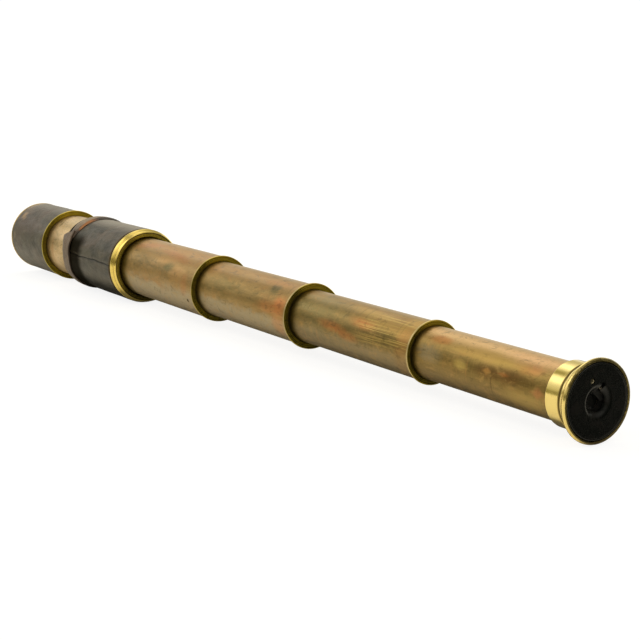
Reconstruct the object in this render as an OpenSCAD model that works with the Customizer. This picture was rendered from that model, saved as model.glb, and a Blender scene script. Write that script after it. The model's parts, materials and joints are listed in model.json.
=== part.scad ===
// Four-draw brass hand telescope.
// The optical axis is the X axis. +X points out of the objective, +Z is up.
// The origin is on the axis at the middle of the barrel's plain leather grip,
// where a stand's ring holds it. The sizes below are counted from the rear face of
// the barrel's polished end ring, and place() moves every piece to the origin.
// All draw tubes stand fully pulled out and the sunshade stands fully forward.

/* [Barrel] */
// Outside diameter of the brass barrel tube
barrel_od = 48.8; // [48.4:0.1:49]
// Outside diameter over the barrel's leather
barrel_leather_od = 55; // [54:0.1:55.2]
// Where the barrel tube ends and the objective cell begins
barrel_front = 160.5; // [158:0.5:164]
// Where the barrel's leather ends under the keeper band
leather_front = 105; // [100:0.5:106]
// Rear edge of the leather keeper band
band_rear = 93.4; // [90:0.1:96]
// Width of the leather keeper band
band_w = 13.6; // [12:0.1:14]
// Thickness of the leather keeper band
band_t = 1.7; // [1.2:0.1:2]

/* [Sunshade] */
// Rear face of the sunshade's ring when the sunshade is forward
shade_rear = 149.8; // [149.5:0.1:150.2]
// Front face of the sunshade
shade_front = 229.7; // [225:0.1:235]
// Outside diameter over the sunshade's leather
shade_leather_od = 56.6; // [56:0.1:57]
// Outside diameter of the sunshade's rear ring
shade_ring_od = 57.4; // [57:0.1:58]
// Outside diameter of the sunshade's brass tube
shade_tube_od = 52.6; // [52.4:0.1:53]

/* [Draw tubes] */
// Outside diameter of the first draw tube, next to the barrel
draw1_od = 42.7; // [42.2:0.1:43]
// Outside diameter of the second draw tube
draw2_od = 36.4; // [36:0.1:36.8]
// Outside diameter of the third draw tube
draw3_od = 31.6; // [31.2:0.1:32]
// Outside diameter of the fourth draw tube, which carries the eyepiece
draw4_od = 28.1; // [27.9:0.1:28.3]
// Wall of each draw tube
tube_wall = 0.8; // [0.6:0.05:0.9]
// Visible length of the first draw tube
draw1_out = 119.5; // [115:0.1:122]
// Visible length of the second draw tube
draw2_out = 119.1; // [115:0.1:122]
// Visible length of the third draw tube
draw3_out = 121.5; // [115:0.1:122]
// Visible length of the fourth draw tube
draw4_out = 103.5; // [98:0.1:108]
// Outside diameter of the ring at the end of the first draw tube
collar1_od = 44.2; // [44:0.1:44.6]
// Outside diameter of the ring at the end of the second draw tube
collar2_od = 39.4; // [38.6:0.1:39.6]
// Outside diameter of the ring at the end of the third draw tube
collar3_od = 34.1; // [33.6:0.1:34.6]
// Length of the guide sleeve inside each end ring
guide_len = 24; // [18:0.5:26]
// Length of the stop ring on the front end of each draw tube
stop_len = 8; // [6:0.5:8]
// Radial running clearance of each sliding fit
slide_gap = 0.05; // [0.02:0.01:0.08]

/* [Eyepiece] */
// Length of the eyepiece mount from its front end to its lip
bell_len = 17.4; // [17.2:0.1:17.8]
// Outside diameter of the eyepiece mount's cylinder
bell_od = 31.2; // [31:0.1:31.4]
// Outside diameter of the eyepiece mount's flared lip
bell_lip_od = 39; // [38.6:0.1:39.4]
// Diameter of the black eye disc
disc_od = 35.6; // [35.2:0.1:35.8]
// Diameter of the hollow turned in the eye disc
hollow_d = 15.4; // [15:0.1:15.8]
// Diameter of the hole through the eye disc
eye_hole_d = 10.2; // [9.8:0.1:10.4]
// Distance of the shutter's pivot from the optical axis
pivot_r = 10.38; // [10.2:0.02:10.5]
// Direction of the shutter's pivot from the optical axis, in degrees from +Y towards +Z
pivot_dir = 68.8; // [0:0.1:360]
// Swing of the shutter blade away from closed at rest, in degrees
shutter_rest = 36; // [30:1:40]

/* [Optics] */
// Diameter of the objective lenses
objective_d = 47; // [46.6:0.1:47]
// Diameter of the erector lenses
erector_d = 17; // [15:0.5:18]
// Diameter of the field lens in the eyepiece
field_lens_d = 21; // [19:0.5:22]
// Diameter of the eye lens
eye_lens_d = 13; // [12:0.5:14]

/* [Hidden] */
NODES = ["barrel_tube", "barrel_leather", "keeper_band", "barrel_end_ring",
         "objective_cell", "objective_crown_lens", "objective_spacer",
         "objective_flint_lens", "objective_retaining_ring",
         "sunshade_tube", "sunshade_leather", "sunshade_rear_ring", "sunshade_front_ring",
         "draw1_tube", "draw1_stop_ring", "draw1_collar", "draw1_collar_screw",
         "draw2_tube", "draw2_stop_ring", "draw2_collar",
         "draw3_tube", "draw3_stop_ring", "draw3_collar",
         "draw4_tube", "draw4_stop_ring",
         "erector_tube", "erector_lens_front", "erector_lens_rear",
         "erector_ring_front", "erector_ring_rear", "erector_stop",
         "eyepiece_bell", "eyepiece_lens_tube", "field_lens", "field_lens_ring",
         "field_stop", "eye_lens", "eye_lens_ring", "eyecup_disc",
         "shutter_blade", "shutter_knob", "shutter_pivot_screw"];
node = "all";

fit = 0.02;                       // gap between pieces that are screwed or pressed together
brass = "goldenrod";
tarnished = "darkkhaki";
dark_brass = "olive";
leather = "dimgray";
glass = [0.85, 0.95, 0.95, 0.5];

// Nested tubes, indexed 0 for the barrel and 1 to 4 for the draw tubes
barrel_wall = 0.9;
outer_r = [barrel_od, draw1_od, draw2_od, draw3_od, draw4_od] / 2;
inner_r = [for (i = [0:4]) outer_r[i] - (i == 0 ? barrel_wall : tube_wall)];
// Rear faces of the end rings
ring2_x = -draw1_out - draw2_out;
ring_x = [0, -draw1_out, ring2_x, ring2_x - draw3_out];

barrel_r = outer_r[0];
barrel_bore = inner_r[0];
leather_r = barrel_leather_od / 2;
grip_rear = 11.2;                 // ends of the plain cylinder of the leather grip
grip_front = band_rear - 0.3;
hold_x = (grip_rear + grip_front) / 2;

// Moves a piece from the design's zero to the origin
module place() translate([-hold_x, 0, 0]) children();

function rev(v) = [for (i = [len(v) - 1:-1:0]) v[i]];
function polar(r, angle) = [r * cos(angle), r * sin(angle)];
// Arc about a [radius, x] centre in the profile plane
function arc(center, r, from, to, n = 8) =
  [for (i = [0:n]) center + polar(r, from + (to - from) * i / n)];
// Profile of a round head whose dome begins at height base
function dome(r, base, rise) =
  concat([[0, 0], [r, 0]], [for (i = [0:6]) [r * cos(15 * i), base + rise * sin(15 * i)]]);

// Solid of revolution about the X axis from [radius, distance in front of x] points
module turned(points, x = 0)
  rotate([0, 90, 0]) rotate_extrude($fn = 96) polygon([for (p = points) p + [0, x]]);
// Plain tube about the X axis
module tube(ro, ri, x0, x1) turned([[ri, x0], [ro, x0], [ro, x1], [ri, x1]]);
// Round bar along X through a [y, z] place
module bar(at, r, x0, x1)
  translate([x0, at[0], at[1]]) rotate([0, 90, 0]) cylinder(r = r, h = x1 - x0, $fn = 32);

// ---- Lens helpers ----
// A lens is [radius, radius of curvature, edge thickness].
// A side of 1 means the face bulges towards +X, -1 towards -X.

// Sagitta of a spherical face at height h
function sag(curve, h) = curve - sqrt(curve * curve - h * h);
// Points of a spherical face from its vertex at x to height h
function lens_face(x, curve, h, side) =
  [for (i = [0:10]) [h * i / 10, x - side * sag(curve, h * i / 10)]];
// Where a ring of inner radius ri rests on a lens whose rim begins at x
function ring_seat(lens, x, ri, side = 1) =
  x + side * (lens[2] + sag(lens[1], lens[0]) - sag(lens[1], ri) + 0.05);
// Bore that holds a small lens
function lens_bore(lens) = lens[0] + 0.05;

// Plano-convex lens with its flat side at x
module plano(lens, x, side = 1)
  turned(concat([[0, x], [lens[0], x]],
                rev(lens_face(x + side * (lens[2] + sag(lens[1], lens[0])),
                              lens[1], lens[0], side))));

// Retaining ring on the curved side of a lens whose flat side is at x.
// lip and mouth are its radial widths at the lens and at its far end.
module lens_ring(lens, x, lip, mouth, side = 1) {
  bore = lens_bore(lens);
  seat = ring_seat(lens, x, bore - lip, side);
  end = seat + side * 2.4;
  turned([[bore - lip, seat], [bore - fit, seat], [bore - fit, end], [bore - mouth, end]]);
}

// Stop with a conical rear face and a front skirt, in a bore
module cone_stop(x, bore, hole_r)
  turned([[hole_r, 2.4], [bore - fit, 0], [bore - fit, 5], [bore - 0.8, 5],
          [bore - 0.8, 3.2], [hole_r, 3.2]], x);

// ---- Barrel ----

band_seat_r = leather_r - 0.3;    // leather radius under the keeper band

module barrel_tube() color(tarnished)
  tube(barrel_r, barrel_bore, 4, barrel_front);

// The leather is squeezed a little thinner under the band
module barrel_leather() color(leather)
  turned([[barrel_r + fit, 9.2], [leather_r - 0.9, 9.2], [leather_r - 0.3, 9.5],
          [leather_r - 0.05, 10.2], [leather_r, grip_rear], [leather_r, grip_front],
          [band_seat_r, band_rear - 0.1], [band_seat_r, leather_front],
          [barrel_r + fit, leather_front]]);

module keeper_band() color("rosybrown") {
  step = leather_front + fit - band_rear;
  turned([[band_seat_r + fit, 0], [leather_r + band_t, 0],
          [leather_r + band_t, 0.6 * band_w], [leather_r + band_t * 0.7, 0.9 * band_w],
          [leather_r + band_t * 0.4, band_w], [barrel_r + 0.6, band_w],
          [barrel_r + 0.6, step], [band_seat_r + fit, step]], band_rear);
}

// Two rounded beads, and a sleeve that guides the first draw tube
module barrel_end_ring() color(brass) {
  bore = outer_r[1] + slide_gap;
  turned(concat(
    [[bore, 0.6], [bore + 1.1, 0.6], [bore + 1.1, 0.1], [25.0, 0.1]],
    arc([24.7, 1.75], 1.72, -75, 40),
    [[26.05, 3.5], [26.05, 3.9]],
    arc([25.6, 6.1], 1.85, -60, 60),
    [[26.4, 8.6], [26.4, 9.1], [barrel_r + fit, 9.1], [barrel_r + fit, 3.95],
     [barrel_bore - fit, 3.95], [barrel_bore - fit, guide_len], [bore, guide_len]]));
}

// ---- Objective ----

shade_tube_r = shade_tube_od / 2;
shade_bore = shade_tube_r - 0.9;
objective_r = objective_d / 2;
crown = [objective_r, 190, 3.4];
clear_r = 22.2;                   // opening of the cell and of its retaining ring
cell_bore = objective_r + 0.1;
cell_x = barrel_front + fit;      // rear face of the cell's flange
cell_seat = 3.5;                  // lens seat in front of that face
flint_rear = cell_x + cell_seat + fit;
flint_front = flint_rear + 3.2;
crown_rear = flint_front + 0.34;  // edge plane of the crown's rear face

module objective_cell() color(dark_brass) {
  ro = shade_bore - slide_gap;
  turned([[clear_r, -6], [barrel_bore - fit, -6], [barrel_bore - fit, 0], [ro, 0],
          [ro, 15.6], [ro - 0.4, 16], [cell_bore, 16],
          [cell_bore, cell_seat], [clear_r, cell_seat]], cell_x);
}

// Flat behind, hollow in front, with an annular edge land
module objective_flint_lens() color(glass) {
  hollow_r = objective_r - 1;
  turned(concat([[0, flint_rear], [objective_r, flint_rear], [objective_r, flint_front]],
                rev(lens_face(flint_front - sag(crown[1], hollow_r),
                              crown[1], hollow_r, -1))));
}

module objective_spacer() color("silver")
  tube(objective_r, objective_r - 0.9, flint_front + fit, flint_front + 0.2);

// Equally convex on both sides
module objective_crown_lens() color(glass) {
  depth = sag(crown[1], objective_r);
  turned(concat(lens_face(crown_rear - depth, crown[1], objective_r, -1),
                rev(lens_face(crown_rear + crown[2] + depth, crown[1], objective_r, 1))));
}

module objective_retaining_ring() color(dark_brass)
  turned([[clear_r, 0], [cell_bore - fit, 0], [cell_bore - fit, 2.6],
          [clear_r + 1, 2.6], [clear_r, 1.4]], ring_seat(crown, crown_rear, clear_r));

// ---- Sunshade ----

shade_leather_r = shade_leather_od / 2;

module sunshade_tube() color(tarnished)
  tube(shade_tube_r, shade_bore, shade_rear + 1.6, shade_front - 2);

module sunshade_leather() color(leather) {
  ri = shade_tube_r + fit;
  ro = shade_leather_r;
  turned([[ri, shade_rear + 1.6], [ro - 0.5, shade_rear + 1.6], [ro, shade_rear + 2.2],
          [ro, shade_front - 2.4], [ro - 0.5, shade_front - 1.6], [ri, shade_front - 1.6]]);
}

module sunshade_rear_ring() color(dark_brass) {
  ro = shade_ring_od / 2;
  bore = barrel_r + slide_gap;
  turned([[bore, 0.5], [bore + 0.7, 0.5], [bore + 0.7, 0.1], [ro - 1.5, 0.1],
          [ro - 1.5, 0.4], [ro - 1.15, 0.4], [ro - 1.15, 0], [ro - 0.4, 0],
          [ro - 0.1, 0.2], [ro, 0.5], [ro, 1.2], [ro - 0.3, 1.55],
          [shade_bore - fit, 1.55], [shade_bore - fit, 10.4], [bore, 10.4]], shade_rear);
}

module sunshade_front_ring() color(dark_brass) {
  ro = shade_leather_r + 0.2;
  ri = shade_bore - 0.8;
  turned([[ri, -9], [shade_bore - fit, -9], [shade_bore - fit, -1.55], [ro - 0.3, -1.55],
          [ro, -1.2], [ro, -0.6], [ro - 0.35, -0.1], [ro - 0.9, 0],
          [shade_bore + 0.2, 0], [shade_bore - 0.5, -0.3], [ri, -0.9]], shade_front);
}

// ---- Draw tubes ----

flange = 1.3;                     // thickness of each end ring's flange
stop_run = 0.3;                   // axial gap at each stop
lock_x = ring_x[1] + 9.5;         // place of the locking screw of the first end ring
lock_dir = -21;                   // its direction, in degrees from +Y towards +Z
bell_front = ring_x[3] - draw4_out;
bell_rear = bell_front - bell_len;
bell_shoulder = bell_rear + 7.4;  // the fourth draw tube stops here inside the mount

// Rear end of a draw tube's stop ring
function stop_x(i) = ring_x[i - 1] + guide_len + stop_run;

module draw_tube(i, rear) tube(outer_r[i], inner_r[i], rear + fit, stop_x(i) + stop_len);

// Stop ring on the front end of a draw tube, running in the bore of the tube outside it
module stop_ring(i) {
  run_r = inner_r[i - 1] - slide_gap;
  ri = outer_r[i] + fit;
  turned([[ri, 0], [run_r - 0.3, 0], [run_r, 0.3], [run_r, stop_len - 0.3],
          [run_r - 0.3, stop_len], [ri, stop_len]], stop_x(i));
}

// End ring: a flange with a grooved rear face, and a sleeve that guides the next tube
module collar(i, od) {
  ro = od / 2;
  bore = outer_r[i + 1] + slide_gap;
  sleeve_r = inner_r[i] - fit;
  groove_r = ro - 1.05;
  turned([[bore, 0.55], [bore + 0.75, 0.55], [bore + 0.75, 0.12],
          [groove_r - 0.35, 0.12], [groove_r - 0.35, 0.45], [groove_r, 0.45], [groove_r, 0],
          [ro - 0.45, 0], [ro - 0.2, 0.08], [ro - 0.06, 0.24], [ro, 0.45],
          [ro, flange - 0.2], [ro - 0.2, flange],
          [sleeve_r, flange], [sleeve_r, guide_len], [bore, guide_len]], ring_x[i]);
}

// Stands the Z axis along the locking screw
module along_lock() translate([lock_x, 0, 0]) rotate([lock_dir - 90, 0, 0]) children();
module lock_hole() along_lock() cylinder(r = 1.25, h = outer_r[1] + 2, $fn = 32);

module draw1_tube() color(tarnished) difference() {
  draw_tube(1, ring_x[1] + flange);
  lock_hole();
}
module draw1_stop_ring() color(dark_brass) stop_ring(1);
module draw1_collar() color(dark_brass) difference() {
  collar(1, collar1_od);
  lock_hole();
}
module draw1_collar_screw() color("saddlebrown") difference() {
  along_lock() translate([0, 0, outer_r[2] + 0.55])
    cylinder(r = 1.22, h = outer_r[1] - outer_r[2] - 0.65, $fn = 32);
  along_lock() translate([0, 0, outer_r[1]]) cube([4, 0.4, 1.2], center = true);
}

module draw2_tube() color(tarnished) draw_tube(2, ring_x[2] + flange);
module draw2_stop_ring() color(dark_brass) stop_ring(2);
module draw2_collar() color(dark_brass) collar(2, collar2_od);

module draw3_tube() color(tarnished) draw_tube(3, ring_x[3] + flange);
module draw3_stop_ring() color(dark_brass) stop_ring(3);
module draw3_collar() color(dark_brass) collar(3, collar3_od);

module draw4_tube() color(tarnished) draw_tube(4, bell_shoulder);
module draw4_stop_ring() color(dark_brass) stop_ring(4);

// ---- Erector, in the front of the fourth draw tube ----

draw4_r = outer_r[4];
draw4_bore = inner_r[4];
erector_lens = [erector_d / 2, 26, 1.6];
erector_flange = 2;
erector_front = stop_x(4) + stop_len + erector_flange;
erector_rear = erector_front - 74;
erector_depth = 7;                // lens seats inside each end
erector_web = 8.5;                // inner side of the seats' shoulders
erector_front_flat = erector_front - erector_depth + fit;
erector_rear_flat = erector_rear + erector_depth - fit;
erector_od_r = draw4_bore - fit;
erector_bore = erector_od_r - 1.2; // bore between the lenses

module erector_tube() color(dark_brass) {
  ro = erector_od_r;
  bore = lens_bore(erector_lens);
  flange_x = erector_front - erector_flange + fit;
  turned([[bore, erector_rear], [ro, erector_rear], [ro, flange_x], [draw4_r, flange_x],
          [draw4_r, erector_front], [bore, erector_front],
          [bore, erector_front - erector_depth], [bore - 1, erector_front - erector_depth],
          [bore - 1, erector_front - erector_web], [erector_bore, erector_front - erector_web],
          [erector_bore, erector_rear + erector_web], [bore - 1, erector_rear + erector_web],
          [bore - 1, erector_rear + erector_depth], [bore, erector_rear + erector_depth]]);
}

module erector_lens_front() color(glass) plano(erector_lens, erector_front_flat);
module erector_lens_rear() color(glass) plano(erector_lens, erector_rear_flat, -1);
module erector_ring_front() color(brass) lens_ring(erector_lens, erector_front_flat, 1.2, 0.6);
module erector_ring_rear() color(brass) lens_ring(erector_lens, erector_rear_flat, 1.2, 0.6, -1);
module erector_stop() color("dimgray") cone_stop(erector_rear + 34, erector_bore, 2.5);

// ---- Eyepiece ----

disc_r = disc_od / 2;
disc_x = bell_rear - 0.1;         // rear face of the eye disc
disc_step = bell_rear + 2.3;      // the disc's rim seats here in the mount
skirt_r = 16.1;                   // outside of the disc in front of its rim
cavity_x = disc_x + 2.4;          // rear wall of the shutter's cavity
lens_tube_x = cavity_x + 1.3;     // rear face of the lens tube's flange
lens_flange_r = 14.85;
lens_tube_r = draw4_bore - fit;
lens_tube_bore = lens_tube_r - 1.2;
lens_tube_front = lens_tube_x + 46;
eye_glass = [eye_lens_d / 2, 14, 1.4];
field_glass = [field_lens_d / 2, 26, 1.6];
eye_seat = lens_tube_x + 1.4;
field_seat = lens_tube_front - 8;

// Cylinder with a hollow flare to a rounded lip, stepped inside for the eye disc
module eyepiece_bell() color(brass) {
  br = bell_od / 2;
  lip_r = bell_lip_od / 2;
  recess_r = draw4_bore + 2.15;
  flare_from = br + 0.08;
  flare_to = 17.85;
  turned(concat(
    [for (p = [[draw4_r + fit, 0], [br - 0.35, 0], [br - 0.1, -0.15], [br, -0.4], [br, -8.6],
               [br - 0.15, -8.8], [br - 0.4, -9.0], [br - 0.4, -9.35], [br - 0.1, -9.5],
               [flare_from, -9.7]]) p + [0, bell_front]],
    [for (i = [1:8]) [flare_from + (flare_to - flare_from) * (1 - cos(9 * i)) / (1 - cos(72)),
                      bell_front - 9.7 - 4.05 * i / 8]],
    [[17.75, bell_front - 14.0], [17.95, bell_front - 14.15]],
    arc([lip_r - 1.3, bell_rear + 1.3], 1.3, 62, -90, 12),
    [[disc_r + 0.12, bell_rear + 0.35], [disc_r + fit, bell_rear + 0.9],
     [disc_r + fit, disc_step], [skirt_r + fit, disc_step], [skirt_r + fit, bell_rear + 4.4],
     [recess_r, bell_rear + 5.4], [recess_r, bell_shoulder - 0.6],
     [draw4_bore, bell_shoulder - 0.6], [draw4_bore, bell_shoulder],
     [draw4_r + fit, bell_shoulder]]));
}

// A flange in front of the shutter with the eye opening, and a tube for both lenses
module eyepiece_lens_tube() color(dark_brass) difference() {
  rear = lens_tube_x;
  front = lens_tube_front;
  neck_r = draw4_bore - 0.6;
  step_r = draw4_bore + 2.1;
  eye_opening = 4;
  field_bore = lens_bore(field_glass);
  eye_bore = lens_bore(eye_glass);
  turned([[eye_opening, rear], [lens_flange_r, rear], [lens_flange_r, rear + 1.2],
          [step_r, rear + 1.2], [step_r, eye_seat], [neck_r, eye_seat],
          [neck_r, bell_shoulder + 0.2], [lens_tube_r, bell_shoulder + 0.2],
          [lens_tube_r, front], [field_bore, front], [field_bore, field_seat],
          [field_bore - 1, field_seat], [field_bore - 1, field_seat - 1],
          [lens_tube_bore, field_seat - 1], [lens_tube_bore, rear + 9], [eye_bore, rear + 9],
          [eye_bore, eye_seat], [eye_opening, eye_seat]]);
  bar(pivot, 0.62, rear - 1, rear + 5);
}

module eye_lens() color(glass) plano(eye_glass, eye_seat + fit);
module eye_lens_ring() color(brass) lens_ring(eye_glass, eye_seat + fit, 0.9, 0.5);
module field_lens() color(glass) plano(field_glass, field_seat + fit);
module field_lens_ring() color(brass) lens_ring(field_glass, field_seat + fit, 1.1, 0.6);
module field_stop() color("dimgray") cone_stop(lens_tube_x + 18, lens_tube_bore, 5.2);

// ---- Eye disc and shutter ----

pivot = polar(pivot_r, pivot_dir); // [y, z] of the shutter's pivot
blade_dir = pivot_dir + 180 - shutter_rest;   // direction from the pivot to the blade's end
blade_x = cavity_x + 0.25;
blade_t = 0.8;
shank_r = 0.8;                    // pivot screw's shank
knob_r = 0.85;
knob_at = 6.78;                   // distance of the knob from the pivot
slot_from = -14;                  // ends of the knob's slot, in degrees from blade_dir
slot_to = 38;

module on_pivot(x) translate([x, pivot[0], pivot[1]]) children();
// Lays local X along the blade and local Z along +X
module along_blade(x) on_pivot(x) rotate([90, 0, 90]) rotate([0, 0, blade_dir]) children();

// Black eye disc: bevelled edge with a turned line, a hollow round the eye hole,
// a slot for the shutter's knob and a cavity in front for the shutter blade
module eyecup_disc() color([0.08, 0.08, 0.09]) {
  hollow_r = hollow_d / 2;
  hole_r = eye_hole_d / 2;
  cavity_r = 13.9;
  seat_r = lens_flange_r + 0.05;
  rear = disc_x - 1;              // where the cuts begin
  difference() {
    turned(concat(
      [[hole_r, cavity_x]],
      [for (i = [0:10]) [hollow_r - (hollow_r - hole_r) * cos(9 * i),
                         disc_x + 1.9 * (1 - sin(9 * i))]],
      [for (p = [[1.5, 0], [1.36, 0.22], [1.12, 0.22], [1.0, 0.02], [0.75, 0.06],
                 [0.35, 0.35], [0.1, 0.8], [0, 1.3]]) [disc_r - p[0], disc_x + p[1]]],
      [[disc_r, disc_step - fit], [skirt_r, disc_step - fit], [skirt_r, lens_tube_x + 0.7],
       [seat_r, lens_tube_x + 0.7], [seat_r, lens_tube_x - 0.02],
       [cavity_r, lens_tube_x - 0.02], [cavity_r, cavity_x]]));
    // knob slot, an arc about the pivot
    intersection() {
      on_pivot(rear) rotate([0, 90, 0]) difference() {
        cylinder(r = knob_at + 1.05, h = 5, $fn = 64);
        translate([0, 0, -1]) cylinder(r = knob_at - 1.05, h = 7, $fn = 64);
      }
      on_pivot(rear) rotate([90, 0, 90]) linear_extrude(5)
        polygon(concat([[0, 0]], [for (turn = [slot_from, (slot_from + slot_to) / 2, slot_to])
                                    polar(12, blade_dir + turn)]));
    }
    // round end of the slot
    bar(pivot + polar(knob_at, blade_dir + slot_from), 1.15, rear, disc_x + 4);
    // pivot screw's hole and head seat
    bar(pivot, 0.82, rear, disc_x + 4);
    bar(pivot, 1.32, rear, disc_x + 0.8);
  }
}

// Flat lever with a round end that covers the eye hole
module shutter_blade() color("darkslategray") along_blade(blade_x)
  linear_extrude(blade_t) difference() {
    union() {
      circle(r = 2.6, $fn = 48);
      translate([pivot_r, 0]) circle(r = 4.7, $fn = 64);
      polygon([[0, 2.6], [0, -2.6], [pivot_r - 0.6, -3.9], [pivot_r - 0.6, 3.9]]);
    }
    circle(r = shank_r + 0.05, $fn = 32);
    translate([knob_at, 0]) circle(r = 0.5, $fn = 32);
  }

// Domed knob standing out to the rear, with a thin shank through the blade
module shutter_knob() color("darkslategray")
  along_blade(blade_x) translate([knob_at, 0, 0]) rotate([0, 180, 0]) {
    translate([0, 0, fit]) cylinder(r = knob_r, h = 1.25, $fn = 32);
    translate([0, 0, 1.2]) rotate_extrude($fn = 32) polygon(dome(knob_r, 0.1, 0.5));
    translate([0, 0, -blade_t + 0.05]) cylinder(r = 0.48, h = blade_t, $fn = 32);
  }

// Domed slotted head in the eye disc, plain shank through the blade, thinner front end
module shutter_pivot_screw() color(brass) difference() {
  union() {
    bar(pivot, shank_r, disc_x + 0.5, lens_tube_x - 0.05);
    bar(pivot, 0.6, lens_tube_x - 0.1, lens_tube_x + 1.2);
    on_pivot(disc_x + 0.75) rotate([0, -90, 0]) rotate_extrude($fn = 32)
      polygon(dome(1.28, 0.45, 0.3));
  }
  on_pivot(disc_x - 0.2) rotate([20, 0, 0]) cube([0.9, 0.3, 4], center = true);
}

function shown(name) = node == "all" || node == name;

if (shown("barrel_tube")) place() barrel_tube();
if (shown("barrel_leather")) place() barrel_leather();
if (shown("keeper_band")) place() keeper_band();
if (shown("barrel_end_ring")) place() barrel_end_ring();
if (shown("objective_cell")) place() objective_cell();
if (shown("objective_crown_lens")) place() objective_crown_lens();
if (shown("objective_spacer")) place() objective_spacer();
if (shown("objective_flint_lens")) place() objective_flint_lens();
if (shown("objective_retaining_ring")) place() objective_retaining_ring();
if (shown("sunshade_tube")) place() sunshade_tube();
if (shown("sunshade_leather")) place() sunshade_leather();
if (shown("sunshade_rear_ring")) place() sunshade_rear_ring();
if (shown("sunshade_front_ring")) place() sunshade_front_ring();
if (shown("draw1_tube")) place() draw1_tube();
if (shown("draw1_stop_ring")) place() draw1_stop_ring();
if (shown("draw1_collar")) place() draw1_collar();
if (shown("draw1_collar_screw")) place() draw1_collar_screw();
if (shown("draw2_tube")) place() draw2_tube();
if (shown("draw2_stop_ring")) place() draw2_stop_ring();
if (shown("draw2_collar")) place() draw2_collar();
if (shown("draw3_tube")) place() draw3_tube();
if (shown("draw3_stop_ring")) place() draw3_stop_ring();
if (shown("draw3_collar")) place() draw3_collar();
if (shown("draw4_tube")) place() draw4_tube();
if (shown("draw4_stop_ring")) place() draw4_stop_ring();
if (shown("erector_tube")) place() erector_tube();
if (shown("erector_lens_front")) place() erector_lens_front();
if (shown("erector_lens_rear")) place() erector_lens_rear();
if (shown("erector_ring_front")) place() erector_ring_front();
if (shown("erector_ring_rear")) place() erector_ring_rear();
if (shown("erector_stop")) place() erector_stop();
if (shown("eyepiece_bell")) place() eyepiece_bell();
if (shown("eyepiece_lens_tube")) place() eyepiece_lens_tube();
if (shown("field_lens")) place() field_lens();
if (shown("field_lens_ring")) place() field_lens_ring();
if (shown("field_stop")) place() field_stop();
if (shown("eye_lens")) place() eye_lens();
if (shown("eye_lens_ring")) place() eye_lens_ring();
if (shown("eyecup_disc")) place() eyecup_disc();
if (shown("shutter_blade")) place() shutter_blade();
if (shown("shutter_knob")) place() shutter_knob();
if (shown("shutter_pivot_screw")) place() shutter_pivot_screw();
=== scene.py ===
# An old brass telescope, drawn out: a leather-covered barrel with a sunshade, four draw tubes
# and an eyepiece with a shutter. The optical axis lies along X, with the sunshade at the front
# (+X) and the eyepiece at the rear (-X); Z is up.
# Sizes are in millimetres unless said otherwise and are scaled to metres when an object is made.
# Angles round the axis are in degrees, from +Y towards +Z.

import bpy
import json
import math
import numpy as np
from functools import cached_property
from mathutils import Vector, Matrix


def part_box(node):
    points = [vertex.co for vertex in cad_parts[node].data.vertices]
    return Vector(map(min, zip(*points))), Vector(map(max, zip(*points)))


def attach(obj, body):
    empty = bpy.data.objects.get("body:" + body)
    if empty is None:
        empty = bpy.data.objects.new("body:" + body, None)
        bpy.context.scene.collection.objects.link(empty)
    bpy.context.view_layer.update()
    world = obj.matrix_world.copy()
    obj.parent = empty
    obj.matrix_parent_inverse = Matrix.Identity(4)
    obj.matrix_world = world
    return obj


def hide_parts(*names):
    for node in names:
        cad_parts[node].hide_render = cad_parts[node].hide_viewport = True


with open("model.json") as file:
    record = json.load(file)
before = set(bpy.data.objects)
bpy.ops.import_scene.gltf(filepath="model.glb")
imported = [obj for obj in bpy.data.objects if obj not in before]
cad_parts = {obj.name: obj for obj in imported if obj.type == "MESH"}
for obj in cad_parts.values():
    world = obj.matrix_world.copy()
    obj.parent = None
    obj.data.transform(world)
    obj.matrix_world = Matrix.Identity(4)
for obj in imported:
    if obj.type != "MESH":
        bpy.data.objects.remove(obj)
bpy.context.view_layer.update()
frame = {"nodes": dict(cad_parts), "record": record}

MM = 0.001
DEGREES = 57.29578                        # degrees in a radian, for the shader angles
NODES = frame["nodes"]
BODY_OF = {n: b for b, ns in frame["record"]["behaviour"]["bodies"].items() for n in ns}
SLOT_OF = {s["node"]: s["material_slot"] for s in frame["record"]["subparts"]}


class Place:
    """A CAD piece's place: x0 to x1 along the axis, centre x, y, z, largest radius and bore."""
    def __init__(self, node):
        lo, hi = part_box(node)
        mesh = NODES[node].data
        co = np.empty(len(mesh.vertices) * 3, np.float32)
        mesh.vertices.foreach_get("co", co)
        co = co.reshape(-1, 3) * 1000.0
        radii = np.hypot(co[:, 1], co[:, 2])
        self.radius, self.bore = float(radii.max()), float(radii.min())
        self.x0, self.x1 = float(lo.x) * 1000, float(hi.x) * 1000
        self.x, self.y, self.z = [(float(a) * 1000 + float(b) * 1000) / 2 for a, b in zip(lo, hi)]


# ------------------------------------------------------------------ profiles and surfaces

def smooth_noise(angle, x, seed, length, turns):
    """Smooth noise on a cylinder, made of seeded sine waves: angle in radians, x in mm."""
    rng = np.random.RandomState(seed)
    out, amp, total = 0.0, 1.0, 0.0
    for octave in (1, 2, 3):
        for _ in range(5):
            waves = int(rng.randint(1, turns * octave + 1))
            pitch = rng.uniform(-1, 1) * octave / length
            phase = rng.uniform(0, 2 * math.pi)
            out = out + amp * np.sin(waves * angle + 2 * math.pi * pitch * x + phase)
            total += amp
        amp *= 0.55
    return out / (total * 0.6)


def ease(value, start, end):
    """Smooth step from 0 at start to 1 at end."""
    f = max(0.0, min(1.0, (value - start) / (end - start)))
    return f * f * (3 - 2 * f)


def arc(centre_a, centre_b, radius, start, end, steps):
    """Points of an arc, from start to end in degrees."""
    turns = [math.radians(start + (end - start) * i / steps) for i in range(steps + 1)]
    return [(centre_a + radius * math.cos(t), centre_b + radius * math.sin(t)) for t in turns]


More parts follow.
